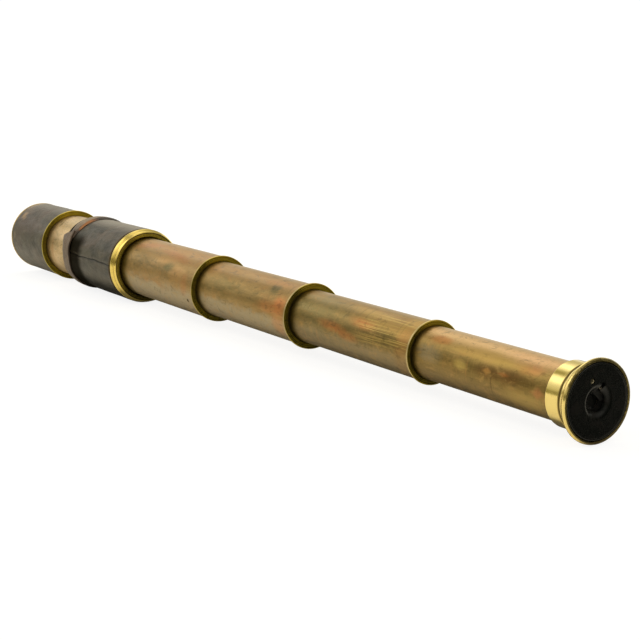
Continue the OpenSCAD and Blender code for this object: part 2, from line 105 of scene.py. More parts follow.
def soften(points, size):
    """Rounds the corners of a closed (radius, x) profile."""
    out, count = [], len(points)
    for i in range(count):
        corner = np.array(points[i], float)
        before = np.array(points[i - 1], float) - corner
        after = np.array(points[(i + 1) % count], float) - corner
        len_before, len_after = np.linalg.norm(before), np.linalg.norm(after)
        if len_before < 1e-9 or len_after < 1e-9:
            continue
        before, after = before / len_before, after / len_after
        turn = math.pi - math.acos(max(-1.0, min(1.0, float(before @ after))))
        if turn < math.radians(16) or corner[0] < 1e-6:
            out.append(tuple(corner))
            continue
        cut = min(size, 0.42 * len_before, 0.42 * len_after)
        start, end = corner + before * cut, corner + after * cut
        for t in (0.0, 1 / 3, 2 / 3, 1.0):
            out.append(tuple((1 - t) ** 2 * start + 2 * t * (1 - t) * corner + t ** 2 * end))
    return out


def support(points, near=0.25, longer=2.0, step=None):
    """Adds loops near the ends of stretches over a length, so that rounded edges shade cleanly,
    and loops a step apart along the longest ones."""
    out, count = [], len(points)
    for i in range(count):
        p, q = np.array(points[i], float), np.array(points[(i + 1) % count], float)
        out.append(tuple(p))
        length = np.linalg.norm(q - p)
        if length > longer:
            out.append(tuple(p + (q - p) * near / length))
            if step and length > 2 * step:
                parts = int(length / step)
                out += [tuple(p + (q - p) * j / parts) for j in range(1, parts)]
            out.append(tuple(q - (q - p) * near / length))
    return out


def revolve(profile, segments, warp=None):
    """Vertices and faces of a closed (radius, x) profile turned about the X axis.
    warp(angle, radius, x) gives the changed radii."""
    angle = np.arange(segments) * 2 * math.pi / segments
    verts, rows = [], []
    for radius, x in profile:
        if radius < 1e-6:
            rows.append([len(verts)])
            verts.append((x, 0.0, 0.0))
            continue
        radii, xs = np.full(segments, radius), np.full(segments, x)
        if warp is not None:
            radii = warp(angle, radii, xs)
        rows.append(list(range(len(verts), len(verts) + segments)))
        ys, zs = radii * np.cos(angle), radii * np.sin(angle)
        verts += list(zip(xs.tolist(), ys.tolist(), zs.tolist()))
    faces = []
    for i, row in enumerate(rows):
        following = rows[(i + 1) % len(rows)]
        if len(row) == 1 and len(following) == 1:
            continue
        for j in range(segments):
            k = (j + 1) % segments
            if len(row) == 1:
                faces.append((row[0], following[j], following[k]))
            elif len(following) == 1:
                faces.append((row[j], row[k], following[0]))
            else:
                faces.append((row[j], row[k], following[k], following[j]))
    return verts, faces


def loft(rings):
    """Vertices and faces of a solid through rings of equally many points, capped at both ends."""
    n = len(rings[0])
    faces = []
    for start in range(0, (len(rings) - 1) * n, n):
        for k in range(n):
            k2 = (k + 1) % n
            faces.append((start + k, start + k2, start + n + k2, start + n + k))
    faces.append(tuple(range(n))[::-1])
    faces.append(tuple(range((len(rings) - 1) * n, len(rings) * n)))
    return [p for ring in rings for p in ring], faces


# ------------------------------------------------------------------ objects

def closed_mesh(name, verts, faces):
    """Mesh of a closed surface, with its faces turned outwards."""
    mesh = bpy.data.meshes.new(name)
    mesh.from_pydata(verts, [], faces)
    mesh.validate(clean_customdata=False)
    mesh.update()
    mesh.calc_loop_triangles()
    co = np.array([v.co for v in mesh.vertices], float)
    tri = np.array([t.vertices for t in mesh.loop_triangles])
    a, b, c = co[tri[:, 0]], co[tri[:, 1]], co[tri[:, 2]]
    if np.einsum("ij,ij->i", a, np.cross(b, c)).sum() < 0:
        mesh.flip_normals()
    return mesh


def add_piece(node, suffix, shape, body, material, sharp):
    """Makes the finished piece that takes a CAD node's place. shape: vertices in mm and faces."""
    verts, faces = shape
    name = f"{node}_{suffix}"
    mesh = closed_mesh(name, [tuple(c * MM for c in v) for v in verts], faces)
    mesh.shade_smooth()
    mesh.set_sharp_from_angle(angle=math.radians(sharp))
    ob = bpy.data.objects.new(name, mesh)
    bpy.context.scene.collection.objects.link(ob)
    mesh.materials.append(material)
    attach(ob, body)
    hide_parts(node)


def solid(shape):
    """A passing object in mm, to cut with or to be cut."""
    ob = bpy.data.objects.new("solid", closed_mesh("solid", *shape))
    bpy.context.scene.collection.objects.link(ob)
    return ob


def carve(shape, cutters):
    """Vertices and faces of a shape once the cutters are taken out of it. Uses the cutters up."""
    blank = solid(shape)
    for cutter in cutters:
        mod = blank.modifiers.new("cut", "BOOLEAN")
        mod.operation, mod.object, mod.solver = "DIFFERENCE", cutter, "EXACT"
    bpy.context.view_layer.update()
    carved = blank.evaluated_get(bpy.context.evaluated_depsgraph_get())
    mesh = carved.to_mesh()
    verts = [tuple(v.co) for v in mesh.vertices]
    faces = [tuple(p.vertices) for p in mesh.polygons]
    carved.to_mesh_clear()
    for ob in (blank, *cutters):
        bpy.data.objects.remove(ob)
    return verts, faces


def lathe(node, profile, body, material, segments=256):
    add_piece(node, "turned", revolve(profile, segments), body, material, sharp=38)


def lathe_cut(node, profile, body, material, cutters, segments, sharp=35):
    shape = carve(revolve(profile, segments), cutters)
    add_piece(node, "turned", shape, body, material, sharp)


def axes_about(axis):
    """The axis and two directions square to it."""
    along = Vector(axis).normalized()
    side = along.orthogonal().normalized()
    return along, side, along.cross(side)


def rod(origin, axis, stations, n=48):
    """Round cutter along an axis. stations: (distance, radius)."""
    along, side, other = axes_about(axis)
    turns = [2 * math.pi * k / n for k in range(n)]
    return solid(loft([[tuple(Vector(origin) + along * d
                              + (side * math.cos(t) + other * math.sin(t)) * r) for t in turns]
                       for d, r in stations]))


def small_screw(node, origin, axis, radius, root, top, dome, edge, slot_width, slot_turn,
                body, material):
    """A small screw from root to top along an axis: rounded head edge, domed top, sawn slot."""
    slot_depth = 0.38
    profile = [(0, root), (radius, root), (radius, top - edge)]
    profile += arc(radius - edge, top - edge, edge, 20, 80, 3)
    profile += [((radius - edge) * (1 - k / 8.0), top + dome * (1 - (1 - k / 8.0) ** 2))
                for k in range(1, 9)]
    along, side, other = axes_about(axis)
    origin = Vector(origin)
    verts, faces = revolve(profile, 48)
    verts = [tuple(origin + along * x + side * y + other * z) for x, y, z in verts]
    turn = Matrix.Rotation(math.radians(slot_turn), 3, along)
    length, width = turn @ side * (radius + 0.5), turn @ other * (slot_width / 2)
    corners = ((1, 1), (-1, 1), (-1, -1), (1, -1))
    slot = solid(loft([[tuple(origin + along * d + length * a + width * b) for a, b in corners]
                       for d in (top + dome - slot_depth, top + dome + 0.6)]))
    add_piece(node, "turned", carve((verts, faces), [slot]), body, material, 30)


# ------------------------------------------------------------------ shader tools

class Signal:
    """An output of a shader node. Arithmetic on it adds Math nodes."""
    def __init__(self, tree, socket):
        self.tree, self.socket = tree, socket

    def __add__(self, other): return self.tree.math("ADD", self, other)
    def __sub__(self, other): return self.tree.math("SUBTRACT", self, other)
    def __rsub__(self, other): return self.tree.math("SUBTRACT", other, self)
    def __mul__(self, other): return self.tree.math("MULTIPLY", self, other)
    def __abs__(self): return self.tree.math("ABSOLUTE", self)
    def max(self, other): return self.tree.math("MAXIMUM", self, other)
    def madd(self, factor, term): return self.tree.math("MULTIPLY_ADD", self, factor, term)

    def step(self, start, end, first=0.0, last=1.0):
        """Smooth step from first at start to last at end; start may be above end."""
        if start > end:
            start, end, first, last = end, start, last, first
        return self.tree.node("ShaderNodeMapRange", (self, start, end, first, last),
                              interpolation_type="SMOOTHSTEP")

    def swing(self, width):
        """A noise centred on zero and scaled."""
        return (self - 0.5) * width

    def near(self, centre, outer, inner):
        """Mask of the values round a centre: 0 from outer away, 1 within inner."""
        return abs(self - centre).step(outer, inner)


class Tree:
    """A shader node tree. colour is the running base colour, painted on layer by layer."""
    def __init__(self, owner):
        owner.use_nodes = True
        self.owner, self.tree = owner, owner.node_tree
        self.tree.nodes.clear()

    def node(self, kind, inputs=(), output=0, **settings):
        """Adds a node, fills its inputs (by place or by key) and gives one of its outputs."""
        new = self.tree.nodes.new(kind)
        for key, value in settings.items():
            setattr(new, key, value)
        for key, value in inputs.items() if isinstance(inputs, dict) else enumerate(inputs):
            socket = new.inputs[key]
            if isinstance(value, Signal):
                self.tree.links.new(value.socket, socket)
            elif value is not None:
                socket.default_value = (*value, 1.0) if socket.type == "RGBA" else value
        return Signal(self, new.outputs[output]) if len(new.outputs) else None

    def math(self, operation, *values):
        return self.node("ShaderNodeMath", values, operation=operation)

    def vec(self, x, y, z):
        return self.node("ShaderNodeCombineXYZ", (x, y, z))

    def split(self, vector):
        outputs = self.node("ShaderNodeSeparateXYZ", (vector,)).socket.node.outputs
        return [Signal(self, socket) for socket in outputs]

    def length(self, a, b):
        return self.math("SQRT", a.madd(a, b * b))

    @cached_property
    def point(self):
        """The object's own coordinates in mm."""
        place = self.node("ShaderNodeTexCoord", output="Object")
        return self.node("ShaderNodeVectorMath", {0: place, "Scale": 1000.0}, operation="SCALE")

    @cached_property
    def xyz(self):
        return self.split(self.point)

    @property
    def x(self):
        return self.xyz[0]

    @cached_property
    def angle(self):
        return self.math("ARCTAN2", self.xyz[2], self.xyz[1]) * DEGREES

    @cached_property
    def radius(self):
        return self.length(self.xyz[1], self.xyz[2])

    def shifted(self, seed, x, y, z):
        """The point moved by seed times x, y, z, so that materials do not repeat each other."""
        return self.node("ShaderNodeVectorMath", (self.point, (seed * x, seed * y, seed * z)),
                         operation="ADD")

    def stretch(self, along, across, xyz=None):
        """Coordinates scaled differently along the axis and across it."""
        x, y, z = xyz or self.xyz
        return self.vec(x * along, y * across, z * across)

    def noise(self, point, scale=1.0, detail=2.0, rough=0.5, distort=0.0):
        return self.node("ShaderNodeTexNoise", {
            "Vector": point, "Scale": scale, "Detail": detail, "Roughness": rough,
            "Lacunarity": 2.0, "Distortion": distort}, noise_dimensions="3D")

    def cell_edges(self, point, scale):
        return self.node("ShaderNodeTexVoronoi",
                         {"Vector": point, "Scale": scale, "Randomness": 1.0},
                         "Distance", feature="DISTANCE_TO_EDGE")

    def mix(self, factor, a, b, blend="MIX"):
        return self.node("ShaderNodeMix", {"Factor": factor, 6: a, 7: b}, 2,
                         data_type="RGBA", blend_type=blend, clamp_factor=True)

    def lerp(self, factor, a, b):
        return self.node("ShaderNodeMix", {"Factor": factor, 2: a, 3: b}, data_type="FLOAT")

    def paint(self, colour, mask, blend="MIX"):
        self.colour = self.mix(mask, self.colour, colour, blend)

    def ramp(self, factor, stops):
        """Colour ramp through (position, colour) stops."""
        out = self.node("ShaderNodeValToRGB", (factor,))
        elements = out.socket.node.color_ramp.elements
        while len(elements) < len(stops):
            elements.new(0.5)
        for element, (position, colour) in zip(elements, stops):
            element.position = position
            element.color = (*colour, 1.0)
        return out

    def sector(self, one_side, other_side, ragged=None):
        """Mask of a range of angles: it rises from 0 to 1 over each side's pair of degrees.
        ragged sways the first side."""
        angle = self.angle if ragged is None else self.angle + ragged
        return angle.step(*one_side) * self.angle.step(*other_side)

    def patch(self, x, angle, half_length, half_width, radius, tilt=0):
        """Coordinates across a patch on a cylinder: (0, 0) at its centre, 1 at its half sizes."""
        around = (self.angle - angle) * (math.pi / 180.0 * radius)
        along = self.x - x
        if tilt:
            c, s = math.cos(math.radians(tilt)), math.sin(math.radians(tilt))
            along, around = along.madd(c, around * s), around.madd(c, along * -s)
        return along * (1.0 / half_length), around * (1.0 / half_width)

    def finish(self, roughness, relief, metallic=0.0, specular=None, sheen=None, **others):
        """Ends a material and gives it. relief: chained bumps, broadest first, each with its
        height, strength and distance in metres."""
        normal = None
        for height, strength, distance in relief:
            normal = self.node("ShaderNodeBump", {"Strength": strength, "Distance": distance,
                                                  "Height": height, "Normal": normal})
        surface = self.node("ShaderNodeBsdfPrincipled", {
            "Base Color": self.colour, "Metallic": metallic, "Roughness": roughness,
            "Normal": normal, "Specular IOR Level": specular, "Sheen Weight": sheen,
            "Sheen Roughness": None if sheen is None else 0.4, **others})
        self.node("ShaderNodeOutputMaterial", {"Surface": surface})
        return self.owner


def new_material(name):
    return Tree(bpy.data.materials.new(name))


def scaled(colour, factor):
    return tuple(c * factor for c in colour)


# ------------------------------------------------------------------ materials

PINK = (0.50, 0.285, 0.115)
COPPER = (0.46, 0.185, 0.060)
ORANGE = (0.56, 0.26, 0.085)
OLIVE = (0.155, 0.115, 0.035)
KHAKI = (0.26, 0.185, 0.065)
GREY = (0.37, 0.315, 0.235)
BROWN = (0.165, 0.085, 0.030)
GOLDEN = (0.50, 0.33, 0.105)


def tube_brass(name, radius, seed, base, patches, top, underside_sheen, copper, olive,
               top_tint_and_light_colour=PINK, belly_shade=0.0, wipe=0.4, gain=(1.03, 1.0, 0.84), roughness=0.40,
               rubbed=None, shaded_ends=()):
    """Worn satin brass: tarnish with coppery streaks, lengthwise draw marks, round scratches.
    top, underside_sheen, copper, olive, belly_shade and wipe are amounts: top for a pink tone with
    painted light over the top, underside_sheen for a painted sheen low on the side and belly_shade
    for painted shade below the shoulder.
    patches: (colour, x, angle, half length, half width, amount, tilt).
    rubbed: (x, half length, amount). shaded_ends: painted reflection and shade towards the end
    rings: (x where it starts, x where it is full, amount).
    """
    tree = new_material(name)
    paint = tree.paint
    xyz = tree.split(tree.shifted(seed, 37.0, 11.0, 23.0))

    def marks(along, across, detail, rough, distort=0.0):
        return tree.noise(tree.stretch(along, across, xyz), 1.0, detail, rough, distort)
    # frequency along the axis and across it, detail, roughness, distortion
    cloud = marks(0.028, 0.15, 6, 0.66, 0.5)             # long clouds of tarnish
    cloud2 = marks(0.060, 0.12, 6, 0.62, 0.9)
    mottle = marks(0.16, 0.30, 5, 0.70, 0.6)             # a few millimetres across
    brush = marks(0.55, 0.045, 4, 0.70, 0.2)             # rubbing marks that run round the tube
    fine = marks(0.10, 1.2, 3, 0.62)
    hair = marks(0.045, 4.2, 2, 0.5)                     # drawing marks along the tube
    scratch = marks(2.6, 0.05, 3, 0.72)                  # thin turned scratches
    scratch_gate = marks(0.05, 0.05, 2, 0.5).step(0.48, 0.66)
    brush_gate = marks(0.022, 0.06, 2, 0.5).step(0.40, 0.62)
    speck = tree.noise(tree.vec(*xyz), scale=1.1, detail=4, rough=0.72)

    # broad tarnish, and painted light, sheen and shade round the tube
    tree.colour = base
    paint(OLIVE, cloud.step(0.40, 0.66, last=olive))
    paint(COPPER, (cloud2 + mottle.swing(0.5)).step(0.50, 0.70, last=copper))
    paint(KHAKI, (fine + cloud2.swing(0.6)).step(0.5, 0.78, last=0.40))
    # pink tone and painted light: paler over the top, where the light falls
    paint(top_tint_and_light_colour, tree.sector((30, 80), (172, 118), cloud.swing(70)) * top)
    # painted sheen: greyer and paler low on the side
    paint(GREY, tree.sector((4, -14), (-110, -60), cloud2.swing(34)) * underside_sheen)
    # painted shade: darker below the shoulder, away from the light
    if belly_shade:                                            # darker below the shoulder
        paint((0.125, 0.088, 0.032),
              tree.sector((44, 14), (-120, -70), cloud.swing(30)) * belly_shade)

    ragged = mottle.swing(1.1) + fine.swing(0.5)
    for colour, x, angle, half_length, half_width, amount, tilt in patches:
        large = half_length >= 5
        u, v = tree.patch(x, angle, half_length, half_width, radius, tilt)
        # spots of middle size are ragged diamonds
        distance = abs(u) + abs(v) if 1.0 < half_length < 5 else tree.length(u, v)
        distance = distance + ragged * (0.9 if large else 1.0 if half_length > 1 else 0.3)
        edge = (1.55, 0.35) if large else (1.40, 0.40)
        paint(colour, distance.step(*edge) * amount)
    if rubbed is not None:                               # bright lengthwise rubs
        x, half_length, amount = rubbed
        rubs = marks(0.022, 1.5, 3, 0.60).step(0.50, 0.64)
        rubs = rubs * tree.x.near(x, half_length, half_length * 0.35)
        paint((0.58, 0.42, 0.15), rubs * tree.sector((-20, 14), (100, 76)) * amount)

    # finer tone changes: mottling, wiping, hairlines
    paint((0.44, 0.285, 0.110), mottle.step(0.50, 0.70) * 0.55)
    paint((0.110, 0.080, 0.028), mottle.step(0.47, 0.32) * 0.52)
    paint((0.42, 0.225, 0.085), brush.step(0.52, 0.70) * brush_gate * wipe)
    paint((0.10, 0.080, 0.026), brush.step(0.46, 0.30) * brush_gate * (wipe * 0.8))
    tone = hair.swing(0.55) + speck.swing(0.45)
    tone = tone + (scratch - 0.5) * scratch_gate * 0.6
    paint((0.58, 0.40, 0.17), tone.step(0.03, 0.28, last=0.28))
    paint((0.065, 0.042, 0.014), tone.step(-0.03, -0.28, last=0.42))
    # painted sheen: paler along the top, near the outline
    paint((0.66, 0.54, 0.40), tree.sector((74, 100), (155, 112), mottle.swing(14)) * 0.50)
    paint(gain, 1.0, "MULTIPLY")
    # painted reflection and shade: darker next to the end rings' dark faces
    for start, full, amount in shaded_ends:
        paint((0.105, 0.076, 0.012), (tree.x + cloud2.swing(2.0)).step(start, full) * amount)

    lines = hair * 0.6 + scratch * scratch_gate * 0.6 + speck * 0.5
    broad = marks(0.035, 0.09, 2, 0.5)
    return tree.finish(
        cloud.swing(0.26) + roughness + mottle.swing(0.16), metallic=0.97,
        relief=((broad, 0.5, 0.0006), (mottle + brush, 0.10, 0.0003), (lines, 0.35, 0.00005)))


def gold(name, bright, dull, tarnish, roughness, grooves=(), extra=None, speck=0.55, wave=0.12):
    """Polished turned brass: turning marks, light hazing, brown tarnish in the corners.
    tarnish and speck are amounts; wave is the strength of the slow waviness.
    grooves: (x, half width, amount). extra(tree, roughness, haze, spots) paints more and gives
    roughness and metallic."""
    tree = new_material(name)
    turning = tree.noise(tree.stretch(5.0, 0.03), detail=3, rough=0.6)
    face_turning = tree.noise(tree.vec(tree.radius * 6.0, tree.x * 0.5, 3.0), detail=3, rough=0.6)
    haze = tree.noise(tree.point, scale=0.22, detail=5, rough=0.62, distort=0.5)
    spots = tree.noise(tree.point, scale=1.3, detail=3, rough=0.65)
    scratch = tree.noise(tree.stretch(0.5, 6.0), detail=2, rough=0.5)
    tree.colour = tree.mix(haze.step(0.46, 0.72, last=tarnish), bright, dull)
    tree.paint((0.36, 0.26, 0.08), spots.step(0.62, 0.78, last=speck))
    roughness = haze.step(0.4, 0.75) * 0.14 + roughness
    metallic = 1.0
    for x, half_width, amount in grooves:
        mask = tree.x.near(x, half_width, half_width * 0.45) * amount
        tree.paint((0.085, 0.055, 0.012), mask)
        roughness = roughness + mask * 0.3
    if extra is not None:
        roughness, metallic = extra(tree, roughness, haze, spots)
    lines = turning * 0.5 + face_turning * 0.5 + scratch * 0.25
    return tree.finish(roughness, metallic=metallic,
                       relief=((haze, wave, 0.0004), (lines, 0.16, 0.00003)))


def dark_brass(name, outer=99.0, bore=0.0, edge=0.0, light=(0.50, 0.395, 0.034),
               dark=(0.27, 0.21, 0.016), rim_colour=(0.60, 0.48, 0.12), shade=True,
               pale_rim=0.0, dirt_and_shade=0.72):
    """Dark olive brass of an end ring: darker towards the bore with dirt and painted shade, rubbed
    bright at the outer edge.
    edge, pale_rim and dirt_and_shade are amounts; shade paints light and shade round the ring."""
    tree = new_material(name)
    paint, radius = tree.paint, tree.radius
    haze = tree.noise(tree.point, scale=0.35, detail=5, rough=0.62, distort=0.6)
    lines = tree.noise(tree.vec(radius * 4.5, tree.x * 0.4, 1.0), detail=3, rough=0.7)
    spots = tree.noise(tree.point, scale=1.6, detail=3, rough=0.7)
    tree.colour = tree.mix(haze.step(0.38, 0.66), light, dark)
    paint((0.36, 0.29, 0.07), lines.step(0.55, 0.75, last=0.5))
    # darker towards the bore: dirt and painted shade
    inner = (radius + haze.swing(0.6)).step(bore + 0.80, bore + 0.25)
    if shade:
        # painted shade: darker on the +Y side of the face, most on its inner half; dirt and painted
        # shade in two circles near the outer edge
        shaded_side = tree.angle.near(12.0, 62.0, 20.0)
        paint((0.090, 0.068, 0.006), shaded_side * 0.50)
        face = outer - bore
        half = radius.step(bore + 0.55 * face, bore + 0.25 * face) * shaded_side.madd(0.45, 0.45)
        inner = inner.max(half)
        for circle in (outer - 1.0, outer - 1.9):
            inner = inner.max(radius.near(circle, 0.34, 0.12) * 0.85)
        # painted light: brighter over the top, and less dark towards the bore there
        upper = (tree.angle + haze.swing(20.0)).near(104.0, 52.0, 24.0)
        paint((0.90, 0.68, 0.060), upper * 0.80)
        inner = inner * (1.0 - upper * 0.35)
    paint((0.030, 0.024, 0.006) if dirt_and_shade < 0.8 else (0.014, 0.010, 0.003), inner * dirt_and_shade)
    paint(rim_colour, (radius + spots.swing(0.35)).step(outer - 0.30, outer - 0.04) * edge)
    if pale_rim:                                         # the outermost land, rubbed pale
        side = tree.sector((150, 110), (-70, -30), spots.swing(30.0))
        paint((0.60, 0.47, 0.33), radius.step(outer - 0.22, outer - 0.08) * side * pale_rim)
    return tree.finish(haze * 0.16 + 0.24 + inner * 0.25, metallic=0.72,
                       relief=((haze, 0.2, 0.0003), (lines + spots * 0.5, 0.3, 0.00005)))


LEATHER_SPECULAR = 0.42


def leather(name, radius, seed, scuffs, worn_edges, base=(0.036, 0.032, 0.019),
            warm=(0.072, 0.050, 0.028), lit_crest_colour=(0.24, 0.215, 0.175), extra=None):
    """Old smooth leather: pores, fine creases, blotches, warm rubbed patches, worn edges, a painted
    highlight over the top and a painted sheen low on the side.
    scuffs: (colour, x, angle, half length, half width, amount).
    worn_edges: (x, half width, amount).
    extra(tree, mid, small) paints more and gives specular level and dullness."""
    tree = new_material(name)
    paint = tree.paint
    skin = tree.shifted(seed, 31.0, 17.0, 5.0)
    x, y, z = tree.split(skin)
    hide = tree.vec(x * 0.42, y, z)                      # the hide is stretched along the tube
    big = tree.noise(hide, scale=0.055, detail=3, rough=0.55, distort=0.5)
    mid = tree.noise(hide, scale=0.16, detail=3, rough=0.55, distort=0.3)
    blotch = tree.noise(hide, scale=0.095, detail=2, rough=0.5, distort=0.5)
    small = tree.noise(hide, scale=0.55, detail=3, rough=0.55, distort=0.1)
    fine_cells, large_cells = tree.cell_edges(skin, 1.7), tree.cell_edges(skin, 0.30)
    pores = tree.noise(skin, scale=3.2, detail=2, rough=0.5)
    crease = (large_cells + small.swing(0.10)).step(0.0, 0.06)
    grain = fine_cells.step(0.0, 0.16)

    tree.colour = tree.mix(big.step(0.42, 0.62, last=0.9), base, warm)
    paint(scaled(base, 0.42), mid.step(0.50, 0.66, last=0.75))
    paint(scaled(base, 1.9), blotch.step(0.52, 0.68, last=0.70))
    paint(scaled(warm, 1.35), mid.step(0.46, 0.30, last=0.55))
    paint(scaled(base, 0.5), small.step(0.52, 0.70, last=0.30))
    paint(scaled(base, 0.35), (1.0 - grain) * 0.22)
    paint(scaled(base, 0.35), (1.0 - crease) * 0.35)
    paint(scaled(warm, 2.3), pores.step(0.62, 0.8, last=0.30))
    # painted highlight: paler over the top
    paint(lit_crest_colour, tree.sector((58, 92), (165, 105), mid.swing(20.0)) * 0.75)
    # painted sheen: paler low on the side
    paint((0.135, 0.122, 0.095), tree.sector((-8, -28), (-75, -50)) * 0.45)
    for colour, x, angle, half_length, half_width, amount in scuffs:
        distance = tree.length(*tree.patch(x, angle, half_length, half_width, radius))
        ragged = tree.noise(tree.stretch(0.3, 0.48), detail=4, rough=0.6)
        paint(colour, (distance + ragged.swing(1.6)).step(1.5, 0.5) * amount)
    for x, half_width, amount in worn_edges:
        distance = abs(tree.x - x) + mid.swing(half_width * 0.8)
        paint(scaled(warm, 1.9), distance.step(half_width, half_width * 0.3, last=amount))

    specular, dull = LEATHER_SPECULAR, 0.0
    if extra is not None:
        specular, dull = extra(tree, mid, small)
    surface = grain * 0.35 + crease * 0.45 + pores * 0.22
    return tree.finish(
        tree.lerp(dull, mid * 0.24 + 0.38, 0.85), specular=specular,
        sheen=tree.math("SUBTRACT", 1.0, dull) * 0.06,
        relief=((big + blotch * 0.6, 0.6, 0.0022), (mid + small * 0.25, 0.25, 0.0007),
                (surface, 0.30, 0.00012)))


def black_gloss(name):
    tree = new_material(name)
    rings = tree.noise(tree.vec(tree.radius * 3.2, 0.0, 2.0), detail=3, rough=0.65)
    dust = tree.noise(tree.point, scale=0.7, detail=5, rough=0.7)
    smear = tree.noise(tree.point, scale=0.16, detail=3, rough=0.55, distort=0.8)
    tree.colour = tree.mix(smear.step(0.45, 0.7), (0.0022, 0.0032, 0.0028),
                           (0.0055, 0.0046, 0.0042))
    tree.paint((0.016, 0.015, 0.013), dust.step(0.66, 0.84, last=0.15))
    return tree.finish(smear * 0.14 + 0.20 + dust.step(0.55, 0.8) * 0.15, specular=0.34,
                       relief=((smear, 0.15, 0.0004), (rings, 0.05, 0.00003)))


def matt_black(name, metallic=0.3, worn=0.25):
    """Blackened brass, worn through in places."""
    tree = new_material(name)
    wear = tree.noise(tree.point, scale=0.5, detail=5, rough=0.65)
    turning = tree.noise(tree.stretch(3.0, 0.2), detail=2, rough=0.6)
    tree.colour = (0.013, 0.013, 0.013)
    tree.paint((0.12, 0.09, 0.035), wear.step(0.55, 0.78, last=worn))
    return tree.finish(wear * 0.2 + 0.45, metallic=metallic,
                       relief=((wear + turning * 0.6, 0.3, 0.00006),))


def glass(name):
    """Slightly dusty glass, greener away from its centre."""
    tree = new_material(name)
    dust = tree.noise(tree.point, scale=0.9, detail=5, rough=0.7)
    tree.colour = (0.93, 0.97, 0.965)
    tree.paint((0.80, 0.92, 0.88), tree.radius.step(0.0, 30.0) * 0.5)
    return tree.finish(dust.step(0.6, 0.85) * 0.05 + 0.004, relief=((dust, 0.02, 0.00002),),
                       IOR=1.52, **{"Transmission Weight": 1.0})


# ------------------------------------------------------------------ barrel tube and leather

places = {n: Place(n) for n in NODES}
barrel = places["barrel_tube"]
hide = places["barrel_leather"]
band = places["keeper_band"]
ring = places["barrel_end_ring"]
draw = {i: places[f"draw{i}_tube"] for i in (1, 2, 3, 4)}
collar = {i: places[f"draw{i}_collar"] for i in (1, 2, 3)}

RING_FACE = ring.x0 - 0.03                # rear face of the barrel's end ring
FIT = 0.02                                # radial play between fixed pieces
SLIDE = 0.05                              # radial play between sliding pieces


def ahead(distance):
    """The x at a distance in front of the end ring's rear face."""
    return distance + RING_FACE


def tube_profile(tube):
    corners = [(tube.bore, tube.x0), (tube.radius, tube.x0),
               (tube.radius, tube.x1), (tube.bore, tube.x1)]
    return support(soften(corners, 0.15), near=0.3, longer=2.0, step=6.0)


def add_tube(node, material, segments=256):
    lathe(node, tube_profile(places[node]), BODY_OF[node], material, segments)


PALE = (0.78, 0.58, 0.34)
add_tube("barrel_tube", tube_brass(
    "barrel_brass", barrel.radius, 5, base=(0.60, 0.44, 0.235), top=0.20, underside_sheen=0.0,
    copper=0.20, olive=0.08, roughness=0.42, top_tint_and_light_colour=(0.64, 0.52, 0.32), wipe=0.2, belly_shade=0.15,
    gain=(1.0, 1.0, 0.98),
    patches=((PALE, ahead(118), 20, 9, 9, 0.6, 0),
             (PALE, ahead(133), -18, 10, 7, 0.6, 0),
             ((0.86, 0.66, 0.42), ahead(140), 70, 12, 8, 0.5, 0),
             (OLIVE, ahead(139), 52, 2.5, 3.5, 0.6, 0),
             (COPPER, ahead(137), 0, 3, 14, 0.35, 0),
             (OLIVE, ahead(136), 33, 6, 1.2, 0.35, 20))))

BARREL_SEAM_ANGLE = 4.5
BARREL_SEAM_SEED = 3
SEAM_WANDER = ((0.11, 1, 0.010), (0.31, 2, 0.006))     # waves: radians per mm, seeds, radians


def sleeve(node, tube, body, material, seam_angle, seed, rear_round, front_round=0.0, seat=None):
    """A leather sleeve: wrapped sheet with a butted seam, soft ends and slow waviness.
    seat: (x, radius) of a rebate at its front end."""
    place = places[node]
    outer, inner, x0, x1 = place.radius, tube.radius + FIT, place.x0, place.x1

    def soft_end(x, size, angles):
        return [(outer - abs(size) * (1 - math.sin(math.radians(a))),
                 x + size * 0.9 * (1 - math.cos(math.radians(a)))) for a in angles]
    stop = x1 if seat is None else seat[0] - 0.6
    run = stop - x0 - 2
    steps = int(run / 0.7)
    profile = [(inner, x0), (outer - rear_round, x0)]
    profile += soft_end(x0, rear_round, (20, 40, 60, 78))
    profile += [(outer, x0 + 1 + run * i / steps) for i in range(steps + 1)]
    if seat is not None:
        seat_x, seat_radius = seat
        profile += [(outer - 0.04, seat_x - 0.35), (seat_radius, seat_x - 0.1), (seat_radius, x1)]
    else:
        profile += soft_end(x1, -front_round, (78, 60, 40, 20))
        profile += [(outer - front_round, x1)]
    profile += [(inner, x1)]

    def warp(angle, radius, x):
        thick = outer - inner
        depth = np.clip((radius - (inner + 0.5 * thick)) / (0.4 * thick), 0, 1)
        wander = sum(a * np.sin(x * f + k * seed) for f, k, a in SEAM_WANDER)
        off = angle - math.radians(seam_angle) - wander
        off = (np.mod(off + math.pi, 2 * math.pi) - math.pi) * outer
        seam = (-0.55 * np.exp(-(off / 0.42) ** 2)
                + 0.20 * np.exp(-((np.abs(off) - 1.3) / 0.8) ** 2))
        waves = (0.14 * smooth_noise(angle, x, seed, 38.0, 4)
                 + 0.055 * smooth_noise(angle, x, seed + 9, 9.0, 16))
        free = np.clip((x - x0) / 2.0, 0, 1)
        if seat is not None:
            free = free * np.clip((seat_x - x) / 3.0, 0, 1)
        return radius + depth * (seam * (0.35 + 0.65 * free)
                                 + np.minimum(waves, 0.10) * free - 0.06 * free)
    add_piece(node, "sleeve", revolve(profile, 432, warp), body, material, sharp=50)


